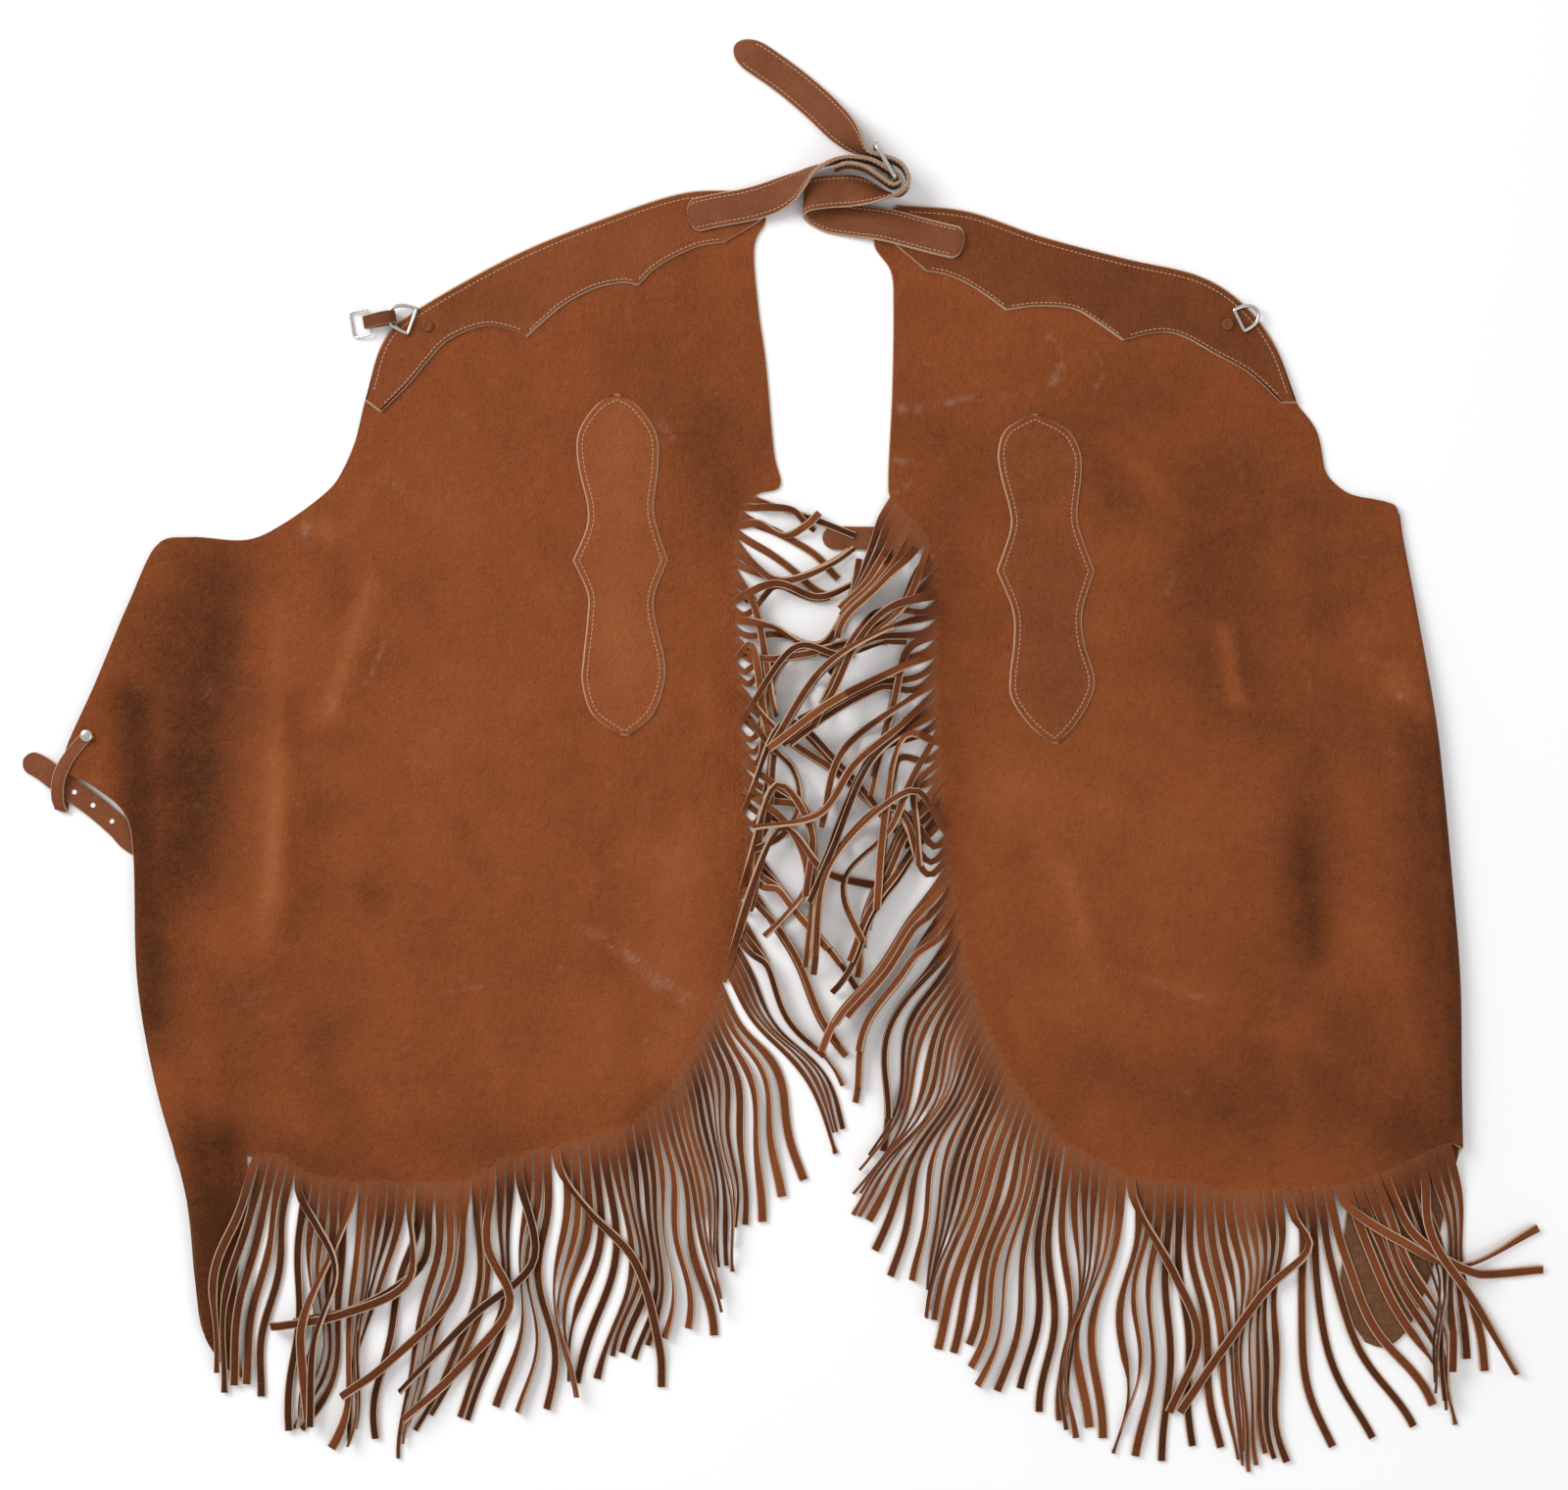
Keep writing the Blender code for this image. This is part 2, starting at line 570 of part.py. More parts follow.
def build_yoke(side, leg, runs, look):
    """Scalloped yoke lying on the top of a leg panel."""
    top = spline(leg.top, 19)
    low = [spline(run, 7) for run in runs]
    lower = np.vstack([low[0], low[1][1:], low[2][1:]])
    if side == "left":
        lower = lower[::-1]
        end = np.linspace(top[0], lower[0], 4)
        inner = spline([top[-1], (-13, 410), lower[-1]], 4)
    else:
        top = top[::-1]
        inner = np.linspace(top[-1], lower[-1], 4)
        end = spline([top[0], (75, 400), lower[0]], 4)
    plan = coons(top, lower, end, inner)
    z = leg.height(plan) + LEATHER + GAP
    points = np.dstack([plan, z])
    shape = thicken(points.reshape(-1, 3), grid_faces(*points.shape[:2]), LEATHER)
    add_object(f"{side}_yoke", *shape, look, shaded=True)


def build_patch(side, leg, rows, look):
    """Long patch sewn on the thigh, waisted in the middle."""
    table = np.array(rows, float)
    width = np.linspace(0, 1, 4)[:, None]
    x = table[None, :, 1] * (1 - width) + table[None, :, 2] * width
    y = np.repeat(table[None, :, 0], 4, axis=0)
    plan = np.dstack([x, y])
    middle = leg.height(plan) + LEATHER / 2 + GAP + PATCH_THICK / 2
    points = np.dstack([plan, middle])
    shape = thicken(points.reshape(-1, 3), grid_faces(*points.shape[:2]), PATCH_THICK)
    add_object(f"{side}_thigh_patch", *shape, look, shaded=True)


def ribbon(centres, widths, breadth, thick):
    """Band along centres with the given unit width directions; breadth may vary."""
    run = np.gradient(centres, axis=0)
    run /= np.linalg.norm(run, axis=1, keepdims=True)
    normal = np.cross(run, widths)
    normal /= np.linalg.norm(normal, axis=1, keepdims=True)
    half = np.broadcast_to(np.asarray(breadth, float) / 2, (len(centres),))[:, None]
    side, up = widths * half, normal * thick / 2
    top_edges = [centres + side + up, centres - side + up]
    low_edges = [centres - side - up, centres + side - up]
    rings = np.stack(top_edges + low_edges, 1)
    count = len(centres)
    faces = []
    for k in range(count - 1):
        for c in range(4):
            d = (c + 1) % 4
            faces.append((4 * k + c, 4 * k + d, 4 * k + 4 + d, 4 * k + 4 + c))
    faces.append((3, 2, 1, 0))
    faces.append(tuple(4 * (count - 1) + c for c in range(4)))
    return rings.reshape(-1, 3), faces


def waist_path(rows, count):
    """Centres and width directions of a waist strap from its stations."""
    table = np.array(rows, float)
    heading, rise = np.radians(table[:, 3]), np.radians(table[:, 4])
    width = np.stack([np.cos(heading) * np.cos(rise), np.sin(heading) * np.cos(rise), np.sin(rise)], 1)
    middle = table[:, 2] + STRAP_WIDTH / 2 * np.abs(width[:, 2])
    middle += STRAP_THICK / 2 * np.sqrt(1 - width[:, 2] ** 2)
    line = np.column_stack([table[:, 0], table[:, 1], middle, width])
    fine = spline(line, count)
    fine[:, 3:] /= np.linalg.norm(fine[:, 3:], axis=1, keepdims=True)
    return fine[:, :3], fine[:, 3:]


def rounded(along, total, first, last):
    """Share of the full breadth near round ends of these radii."""
    share = np.ones_like(along)
    if first:
        share = np.minimum(share, np.sqrt(np.clip(1 - (1 - along / first) ** 2, 0.04, 1)) + (along > first))
    if last:
        left = total - along
        share = np.minimum(share, np.sqrt(np.clip(1 - (1 - left / last) ** 2, 0.04, 1)) + (left > last))
    return np.minimum(share, 1)


def build_waist_strap(name, rows, count, look, last=0.0, first=8.0):
    """Waist strap along its stations, with round ends."""
    centres, widths = waist_path(rows, count)
    along = lengths(centres)
    share = rounded(along, along[-1], first, last)
    points, faces = ribbon(centres, widths, STRAP_WIDTH * share, STRAP_THICK)
    return add_object(name, points, faces, look, shaded=True)


def flat_strap(name, rows, breadth, thick, look, ground, point=9.0):
    """Flat strap along plan stations with a pointed or round tip at its start."""
    table = np.array(rows, float)
    line = spline(table, 3 * len(rows))
    run = np.gradient(line[:, :2], axis=0)
    run /= np.linalg.norm(run, axis=1, keepdims=True)
    widths = np.column_stack([-run[:, 1], run[:, 0], np.zeros(len(run))])
    along = lengths(line)
    share = rounded(along, along[-1], point, 0)
    centres = line + np.array([0, 0, thick / 2])
    points, faces = ribbon(centres, widths, breadth * share, thick)
    ground.lay_band(even(line, 120)[:, :2], np.full(120, breadth / 2), even(line, 120)[:, 2] + thick)
    return add_object(name, points, faces, look)


def tube(path, radius, sides, closed=False):
    """Round wire along a path, closed on itself or with flat ends."""
    path = np.asarray(path, float)
    if closed:
        run = np.roll(path, -1, axis=0) - np.roll(path, 1, axis=0)
    else:
        run = np.gradient(path, axis=0)
    run /= np.linalg.norm(run, axis=1, keepdims=True)
    spread = path - path.mean(axis=0)
    axis = np.linalg.svd(spread)[2][2]
    first = np.tile(axis, (len(path), 1))
    first -= run * (first * run).sum(1, keepdims=True)
    first /= np.linalg.norm(first, axis=1, keepdims=True)
    second = np.cross(run, first)
    turn = np.linspace(0, 2 * math.pi, sides, endpoint=False) + math.pi / sides
    ring = np.cos(turn)[None, :, None] * first[:, None] + np.sin(turn)[None, :, None] * second[:, None]
    radii = np.broadcast_to(np.asarray(radius, float), (len(path),))[:, None, None]
    points = (path[:, None] + ring * radii).reshape(-1, 3)
    count, faces = len(path), []
    for k in range(count if closed else count - 1):
        n = (k + 1) % count
        for c in range(sides):
            d = (c + 1) % sides
            faces.append((k * sides + c, k * sides + d, n * sides + d, n * sides + c))
    if not closed:
        faces.append(tuple(range(sides))[::-1])
        faces.append(tuple((count - 1) * sides + c for c in range(sides)))
    return points, faces


def build_buckle(look):
    """Upright buckle frame of the waist strap, its prong, made of flat bar."""
    hinge, front = np.array(BUCKLE_HINGE), np.array(BUCKLE_FRONT)
    low = BUCKLE_BOTTOM
    high = low + STRAP_WIDTH + 2 * BUCKLE_WIRE + 2.0
    run = (front - hinge) / np.linalg.norm(front - hinge)
    ease = 3.0
    corners = []
    for place, z, along, up in (
        (hinge, low, 1, 1), (front, low, -1, 1), (front, high, -1, -1), (hinge, high, 1, -1),
    ):
        side_step = np.array([*(place + run * ease * along), z])
        up_step = np.array([*place, z + ease * up])
        middle = np.array([*(place + run * ease * 0.3 * along), z + ease * 0.3 * up])
        order = [side_step, middle, up_step]
        flip = (along, up) in ((1, 1), (-1, -1))
        corners += order[::-1] if flip else order
    points, faces = tube(corners, BUCKLE_WIRE, 6, closed=True)
    add_object("waist_buckle_frame", points, faces, look, shaded=True)
    side = np.array([run[1], -run[0]])
    reach = BUCKLE_WIRE + 1.1 + GAP
    root = hinge + side * reach + run * 0.5
    tip = front + side * (reach + 0.2) + run * PRONG_REACH
    middle_z = (low + high) / 2
    path = [np.array([*(root + (tip - root) * t), middle_z]) for t in (0, 0.2, 0.5, 0.8, 1.0)]
    points, faces = tube(path, np.array([1.1, 1.1, 1.1, 1.0, 0.5]), 6)
    add_object("waist_buckle_prong", points, faces, look, shaded=True)
    return root, tip, middle_z


def cutter_box(name, start, end, z, half, tall):
    """Box along a plan line that cuts a slot."""
    start, end = np.asarray(start, float), np.asarray(end, float)
    run = (end - start) / np.linalg.norm(end - start)
    side = np.array([-run[1], run[0]]) * half
    plan = [start - side, end - side, end + side, start + side]
    points = [(*p, z - tall) for p in plan] + [(*p, z + tall) for p in plan]
    faces = [(3, 2, 1, 0), (4, 5, 6, 7), (0, 1, 5, 4), (1, 2, 6, 5), (2, 3, 7, 6), (3, 0, 4, 7)]
    made = add_object(name, points, faces, material("cutter", (0.5, 0.5, 0.5), 0.5))
    made.hide_render = True
    made.display_type = "WIRE"
    return made


def cut(target, cutter):
    """Takes the cutter's shape out of the target."""
    step = target.modifiers.new("cut", "BOOLEAN")
    step.operation = "DIFFERENCE"
    step.object = cutter


def d_ring(name, bar_start, bar_end, reach, z, look):
    """D-shaped ring: a straight bar and a round bow reaching out from it."""
    a, b = np.array(bar_start, float), np.array(bar_end, float)
    middle, half = (a + b) / 2, (a - b) / 2
    out = np.array([half[1], -half[0]]) / np.linalg.norm(half)
    turn = np.linspace(0, math.pi, 11)
    bow = [middle + half * math.cos(t) + out * reach * math.sin(t) ** 0.8 for t in turn]
    bar = [middle + half * s for s in (-0.55, 0.0, 0.55)]
    path = [(*p, z) for p in bow + bar]
    points, faces = tube(path, RING_WIRE, 6, closed=True)
    return add_object(name, points, faces, look, shaded=True)


def rivet(name, x, y, z, look, dimple=False):
    """Domed rivet head seated just above the leather."""
    rings = [(0.0, 1.0), (0.9, 1.0), (1.7, 0.78), (2.0, 0.45)]
    if dimple:
        rings[-1] = (1.9, 0.42)
        rings.append((1.1, 0.3))
    sides, points, faces = 12, [], []
    for rise, share in rings:
        for c in range(sides):
            t = 2 * math.pi * c / sides
            reach = RIVET_RADIUS * share
            points.append((x + reach * math.cos(t), y + reach * math.sin(t), z + rise))
    for k in range(len(rings) - 1):
        for c in range(sides):
            d = (c + 1) % sides
            faces.append((k * sides + c, k * sides + d, k * sides + sides + d, k * sides + sides + c))
    faces.append(tuple(range(sides))[::-1])
    faces.append(tuple((len(rings) - 1) * sides + c for c in range(sides)))
    return add_object(name, points, faces, look, shaded=True)


def closed_band(name, path, widths, breadth, thick, look):
    """Band that closes on itself."""
    path = np.asarray(path, float)
    run = np.roll(path, -1, axis=0) - np.roll(path, 1, axis=0)
    run /= np.linalg.norm(run, axis=1, keepdims=True)
    width = np.tile(np.asarray(widths, float), (len(path), 1))
    normal = np.cross(run, width)
    normal /= np.linalg.norm(normal, axis=1, keepdims=True)
    side, up = width * breadth / 2, normal * thick / 2
    rings = np.stack([path + side + up, path - side + up, path - side - up, path + side - up], 1)
    count, faces = len(path), []
    for k in range(count):
        n = (k + 1) % count
        for c in range(4):
            d = (c + 1) % 4
            faces.append((4 * k + c, 4 * k + d, 4 * n + d, 4 * n + c))
    return add_object(name, rings.reshape(-1, 3), faces, look, shaded=True)


def build_hip_strap(leather, metal):
    """Short strap looped through the left hip ring, with the small buckle that it carries."""
    turn = math.radians(HIP_STRAP_HEADING)
    away = np.array([math.cos(turn), math.sin(turn)])
    across = np.array([-away[1], away[0], 0.0])
    start = np.array(HIP_STRAP_START, float)
    line = np.array(HIP_STRAP_PATH, float)
    loop = np.vstack([line, line[:1]])
    loop = spline(loop, 23)[:-1]
    path = [(*(start + away * s), z) for s, z in loop]
    closed_band("hip_strap", path, across, HIP_STRAP_WIDTH, HIP_STRAP_THICK, leather)
    near, far = (17.3, 5.0), (31.0, 1.6)
    half = SMALL_BUCKLE_WIDTH / 2
    corners = []
    for (s, z), sides in ((near, (-1, 1)), (far, (1, -1))):
        for side in sides:
            inset = 1.6
            end = start + away * s + across[:2] * side * (half - inset)
            step = away * (inset if s == near[0] else -inset)
            turned = start + away * s + across[:2] * side * half + step
            slope = (far[1] - near[1]) / (far[0] - near[0]) * (inset if s == near[0] else -inset)
            pair = [(*end, z), (*turned, z + slope)]
            corners += pair if (side == 1) == (s == near[0]) else pair[::-1]
    points, faces = tube(corners, SMALL_BUCKLE_WIRE, 6, closed=True)
    add_object("hip_strap_buckle", points, faces, metal, shaded=True)


def between(table, share):
    """Row of a table at a share, worked out between its rows."""
    rows = np.array(table, float)
    return [np.interp(share, rows[:, 0], rows[:, k]) for k in range(1, rows.shape[1])]


def strand_plan(root, root_heading, tip_heading, length, stations):
    """Plan points of a strand that turns evenly from one heading to the other."""
    steps = np.linspace(0, 1, 25)
    heading = np.radians(root_heading + (tip_heading - root_heading) * smooth(steps))
    hop = length / 24 * np.stack([np.cos(heading), np.sin(heading)], axis=1)
    fine = root + np.vstack([[0, 0], np.cumsum(hop[:-1], axis=0)])
    return sample(fine, steps, np.asarray(stations))


def fringe_strands(leg, table, crossing, count, stations):
    """Plan stations of every strand, and which of them cross over the others."""
    line = root_line(leg)
    along = lengths(line)
    pitch = along[-1] / count
    wave = rng.uniform(0, 2 * math.pi, 3)
    strands, order = [], []
    heroes = {int(share * count): points for share, points in crossing}
    for i in range(count):
        share = (i + 0.5) / count
        root = sample(line, along, np.array((i + 0.5) * pitch))
        first, last, length = between(table, share)
        drift = 2.2 * math.sin(i / 2.3 + wave[0]) + 1.6 * math.sin(i / 4.1 + wave[1])
        length *= 1 + 0.035 * math.sin(i * 1.7 + wave[2]) + rng.uniform(-0.03, 0.03)
        if i in heroes:
            path = spline([root, *heroes[i]], 41)
            plan = sample(path, np.linspace(0, 1, 41), np.asarray(CROSSING_STATIONS))
            order.append(True)
        else:
            plan = strand_plan(root, first + 0.3 * drift, last + drift, length, stations)
            order.append(False)
        strands.append(plan)
    return line, pitch, strands, order


def spacing(strands, order, i):
    """Least distance across to the neighbouring strands at each station."""
    own = strands[i]
    least = np.full(len(own), STRAND_LOOK_AROUND)
    for j in (i - 1, i + 1):
        if 0 <= j < len(strands) and not order[j]:
            least = np.minimum(least, distance_to(own, strands[j]))
    return least


def lay_strand(plan, half, tall, rest, root_z, ground):
    """Middle heights of a strand that lies on whatever is under it."""
    fine_at = np.linspace(0, 1, 60)
    along = lengths(plan)
    share = along / along[-1]
    fine = sample(plan, share, fine_at)
    under = ground.under_band(fine, np.interp(fine_at, share, half))
    leave = fine_at * along[-1] < 9.0
    under[leave] = 0.0
    tall_fine = np.interp(fine_at, share, tall)
    need = np.where(under > 0, under + rest, 0.45) + tall_fine / 2
    z = np.empty(len(plan))
    for k in range(len(plan)):
        low = share[max(k - 1, 0)]
        high = share[min(k + 1, len(plan) - 1)]
        z[k] = need[(fine_at >= low - 1e-6) & (fine_at <= high + 1e-6)].max()
    drop = root_z * np.clip(1 - along / 45.0, 0, 1)
    z = np.maximum(z, drop)
    z[0] = root_z
    return z


def build_fringe(leg, table, crossing, ground, look, stations):
    """Both fringes of a leg: the inner edge's and the hem's, each on its own backing strip."""
    line, pitch, strands, order = fringe_strands(leg, table, crossing, STRANDS_A_LEG, stations)
    along = lengths(line)
    split = int(INNER_SHARE * STRANDS_A_LEG)
    edge_z = leg.height(line)
    corner = leg.border[PANEL_DOWN + 1 - PLAIN_ROWS]
    near_corner = np.exp(-((np.linalg.norm(line - corner, axis=1) / CORNER_EASE) ** 2))
    back_line = beside(line, leg.border, (BACKING_GAP + near_corner)[:, None])
    shapes = {}
    crossing_last = sorted(range(len(strands)), key=lambda i: order[i])
    placed = []
    for i in crossing_last:
        plan = strands[i]
        room = spacing(strands, order, i) - 0.5
        breadth = min(FRINGE_WIDTH, pitch - FRINGE_SLIT)
        wide = np.clip(room, FRINGE_THICK, breadth) if not order[i] else np.full(len(plan), breadth * 0.75)
        lean = np.arccos(np.clip((wide - FRINGE_THICK) / (breadth - FRINGE_THICK), 0, 1))
        lean = np.minimum(lean, math.radians(82))
        lean[0] = 0
        tall = FRINGE_THICK * np.cos(lean) + breadth * np.sin(lean)
        half = (breadth * np.cos(lean) + FRINGE_THICK * np.sin(lean)) / 2
        root_z = float(np.interp((i + 0.5) * pitch, along, edge_z))
        z = lay_strand(plan, half, tall, GAP, root_z, ground)
        shapes[i] = (plan, z, lean, breadth)
        if order[i]:
            put_down(plan, z, half, tall, ground)
        else:
            placed.append((plan, z, half, tall))
        if not order[i] and (len(placed) == order.count(False)):
            for rest in placed:
                put_down(*rest, ground)
    for name, low, high in (("inner", 0, split), ("hem", split, STRANDS_A_LEG)):
        points, faces = fringe_mesh(line, back_line, along, edge_z, pitch, shapes, low, high)
        add_object(f"{leg.side}_{name}_fringe", points, faces, look)


def put_down(plan, z, half, tall, ground):
    """Records a laid strand in the ground heights."""
    at = np.linspace(0, 1, 90)
    share = lengths(plan) / lengths(plan)[-1]
    centres = sample(plan, share, at)
    top = np.interp(at, share, z + tall / 2)
    ground.lay_band(centres, np.interp(at, share, half), top)


def fringe_mesh(line, back_line, along, edge_z, pitch, shapes, low, high):
    """Backing strip and the strands that grow from its outer edge, as one closed surface."""
    points, faces = [], []
    half_t = FRINGE_THICK / 2

    def put(plan, z):
        points.append((plan[0], plan[1], z))
        return len(points) - 1

    def strip_pair(source, at):
        """Top and bottom points of the strip at a distance along it."""
        plan = sample(source, along, np.array(at))
        z = float(np.interp(at, along, edge_z))
        return put(plan, z + half_t), put(plan, z - half_t)

    end_trim = 0.3
    edges = [low * pitch + end_trim]
    edges += [i * pitch for i in range(low + 1, high)]
    edges += [high * pitch - end_trim]
    backs = [strip_pair(back_line, at) for at in edges]
    outs = []
    for i in range(low, high):
        middle = (i + 0.5) * pitch
        half = (pitch - FRINGE_SLIT) / 2
        outs.append((strip_pair(line, middle - half), strip_pair(line, middle + half)))
    for k in range(high - low):
        (a_top, a_low), (b_top, b_low) = outs[k]
        top = [backs[k][0], a_top, b_top, backs[k + 1][0]]
        low_face = [backs[k][1], a_low, b_low, backs[k + 1][1]]
        if k + 1 < high - low:
            nxt = outs[k + 1][0]
            faces.append((b_top, nxt[0], nxt[1], b_low))
            faces.append((backs[k + 1][0], b_top, nxt[0]))
            faces.append((backs[k + 1][1], b_low, nxt[1]))
        faces.append(tuple(top))
        faces.append(tuple(low_face))
        faces.append((backs[k][0], backs[k + 1][0], backs[k + 1][1], backs[k][1]))
        plan, z, lean, breadth = shapes[low + k]
        run = np.gradient(plan, axis=0)
        run /= np.linalg.norm(run, axis=1, keepdims=True)
        side = np.stack([-run[:, 1], run[:, 0]], axis=1)
        if np.dot(side[0], sample(line, along, np.array((low + k + 0.9) * pitch)) - plan[0]) < 0:
            side = -side
        ring = [a_top, b_top, b_low, a_low]
        for s in range(1, len(plan)):
            across = np.array([*(side[s] * math.cos(lean[s])), math.sin(lean[s])])
            up = np.array([*(-side[s] * math.sin(lean[s])), math.cos(lean[s])])
            centre = np.array([*plan[s], z[s]])
            nxt = []
            for a, b in ((-1, 1), (1, 1), (1, -1), (-1, -1)):
                corner = centre + across * a * breadth / 2 + up * b * half_t
                nxt.append(put(corner[:2], corner[2]))
            for c in range(4):
                d = (c + 1) % 4
                faces.append((ring[c], ring[d], nxt[d], nxt[c]))
            ring = nxt
        faces.append(tuple(ring))
    first, last = outs[0][0], outs[-1][1]
    faces.append((backs[0][0], first[0], first[1], backs[0][1]))
    faces.append((backs[-1][0], last[0], last[1], backs[-1][1]))
    return points, faces


def stand_on_origin():
    """Moves every point so that the whole stands on the origin, centred."""
    made = [o for o in bpy.context.scene.collection.objects if o.type == "MESH"]
    shown = [o for o in made if not o.hide_render]
    corners = np.array([v.co[:] for o in shown for v in o.data.vertices])
    low, high = corners.min(axis=0), corners.max(axis=0)
    shift = np.array([-(low[0] + high[0]) / 2, -(low[1] + high[1]) / 2, -low[2]])
    for o in made:
        coords = np.array([v.co[:] for v in o.data.vertices]) + shift
        o.data.vertices.foreach_set("co", coords.ravel())
        o.data.update()
    print("shift in metres:", [round(float(s), 5) for s in shift], "size", (high - low).round(4))


def main():
    """Builds every piece in the order in which they lie on each other."""
    start_scene()
    tan = material("leather_tan", (0.27, 0.085, 0.03), 0.6)
    yoke_tan = material("leather_yoke", (0.24, 0.08, 0.03), 0.6)
    patch_tan = material("leather_patch", (0.28, 0.09, 0.035), 0.6)
    strap_tan = material("leather_strap", (0.2, 0.07, 0.03), 0.6)
    fringe_tan = material("leather_fringe", (0.2, 0.065, 0.028), 0.65)
    nickel = material("nickel", (0.7, 0.69, 0.66), 0.25, 1.0)
    ground = Ground()
    left = Leg("left", LEFT_TOP, LEFT_INNER, LEFT_HEM, LEFT_OUTER, LEFT_RIDGES)
    right = Leg("right", RIGHT_TOP, RIGHT_INNER, RIGHT_HEM, RIGHT_OUTER, RIGHT_RIDGES)
    build_left_panel(left, ground, tan)
    build_right_panel(right, ground, tan)
    build_yoke("left", left, LEFT_YOKE_EDGE, yoke_tan)
    build_yoke("right", right, RIGHT_YOKE_EDGE, yoke_tan)
    build_patch("left", left, LEFT_PATCH, patch_tan)
    build_patch("right", right, RIGHT_PATCH, patch_tan)

    left_waist = build_waist_strap("left_waist_strap", LEFT_WAIST, 44, strap_tan)
    right_waist = build_waist_strap("right_waist_strap", RIGHT_WAIST, 62, strap_tan, last=20.0)
    root, tip, middle_z = build_buckle(nickel)
    run = (tip - root) / np.linalg.norm(tip - root)
    slot = cutter_box("prong_slot", root - run * 8, root + run * 14, middle_z, 4.5, 2.2)
    cut(left_waist, slot)
    hole = cutter_box("prong_hole", root + run * 10, tip + run * 12, middle_z, 1.9, 1.9)
    cut(right_waist, hole)

    flat_strap("left_leg_strap", LEFT_LEG_STRAP, LEG_STRAP_WIDTH, LEG_STRAP_THICK, strap_tan, ground)
    flat_strap("right_leg_strap", RIGHT_LEG_STRAP, LEG_STRAP_WIDTH, LEG_STRAP_THICK, strap_tan, ground)
    keeper = spline(KEEPER, 22)
    width = np.tile([math.cos(math.radians(164)), math.sin(math.radians(164)), 0], (len(keeper), 1))
    points, faces = ribbon(keeper, width, KEEPER_WIDTH, KEEPER_THICK)
    add_object("leg_strap_keeper", points, faces, strap_tan, shaded=True)

    top_of_yoke = 2 * LEATHER + GAP
    rivet("left_hip_rivet", -271, 325, top_of_yoke + GAP, strap_tan, dimple=True)
    rivet("right_hip_rivet", 340.5, 326, top_of_yoke + GAP, strap_tan, dimple=True)
    rivet("leg_strap_rivet", -530, 12, 13.6, nickel)
    d_ring("right_hip_ring", (345, 337), (353, 321), 16, top_of_yoke + GAP + RING_WIRE, nickel)
    d_ring("left_hip_ring", (-286, 319), (-279, 338), 19, top_of_yoke + GAP + RING_WIRE, nickel)
    build_hip_strap(strap_tan, nickel)
    build_fringe(left, LEFT_FRINGE, LEFT_CROSSING, ground, fringe_tan, STRAND_STATIONS)
    build_fringe(right, RIGHT_FRINGE, RIGHT_CROSSING, ground, fringe_tan, STRAND_STATIONS)
    stand_on_origin()


main()
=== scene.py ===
"""Fringed leather riding chaps laid flat on a pale floor, seen straight from above.

Tables are in millimetres on the plan, x to the right and y towards the waist; each surface is
worked out as a whole array and put into the frame's place at the end.
"""
import logging
import math
from dataclasses import dataclass, field
from enum import Enum

import bpy
import numpy as np
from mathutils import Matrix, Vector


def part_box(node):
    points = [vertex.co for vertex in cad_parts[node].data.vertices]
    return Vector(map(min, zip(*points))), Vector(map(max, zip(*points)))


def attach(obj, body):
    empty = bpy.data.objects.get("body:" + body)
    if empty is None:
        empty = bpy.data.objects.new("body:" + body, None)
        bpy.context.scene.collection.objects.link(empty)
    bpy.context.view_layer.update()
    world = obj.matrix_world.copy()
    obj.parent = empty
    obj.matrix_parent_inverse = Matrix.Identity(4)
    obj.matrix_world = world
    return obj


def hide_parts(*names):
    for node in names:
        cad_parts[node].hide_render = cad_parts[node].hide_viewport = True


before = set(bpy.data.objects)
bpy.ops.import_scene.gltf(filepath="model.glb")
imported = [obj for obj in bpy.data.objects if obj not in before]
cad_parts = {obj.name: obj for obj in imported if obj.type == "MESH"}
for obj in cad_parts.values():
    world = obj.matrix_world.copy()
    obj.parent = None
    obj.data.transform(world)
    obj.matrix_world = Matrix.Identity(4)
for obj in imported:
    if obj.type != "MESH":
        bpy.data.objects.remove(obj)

logging.basicConfig(level=logging.INFO, format="%(message)s")
log = logging.getLogger("chaps")

Array = np.ndarray
Colour = tuple[float, float, float]
Rows = list[tuple[float, ...]]

MM = 0.001
LEATHER = 2.2
GAP = 0.35
PATCH_THICK = 1.6
RIVET_PLACE = (-530.0, 12.0)


STRAP_WIDTH = 25.4
STRAP_THICK = 2.6
LEG_STRAP_WIDTH = 16.5
LEG_STRAP_THICK = 2.0
HIP_STRAP_WIDTH = 10.0
HIP_STRAP_THICK = 1.7
HIP_STRAP_START = (-298.5, 331.2)
HIP_STRAP_HEADING = 190.0
SMALL_BUCKLE_WIDTH = 20.0
SMALL_BUCKLE_WIRE = 1.1
FRINGE_THICK = 1.8
FRINGE_WIDTH = 4.8
RING_WIRE = 1.5
BUCKLE_WIRE = 1.6
FOLD_RADIUS = 5.5
FOLD_START_RADIUS = 1.6

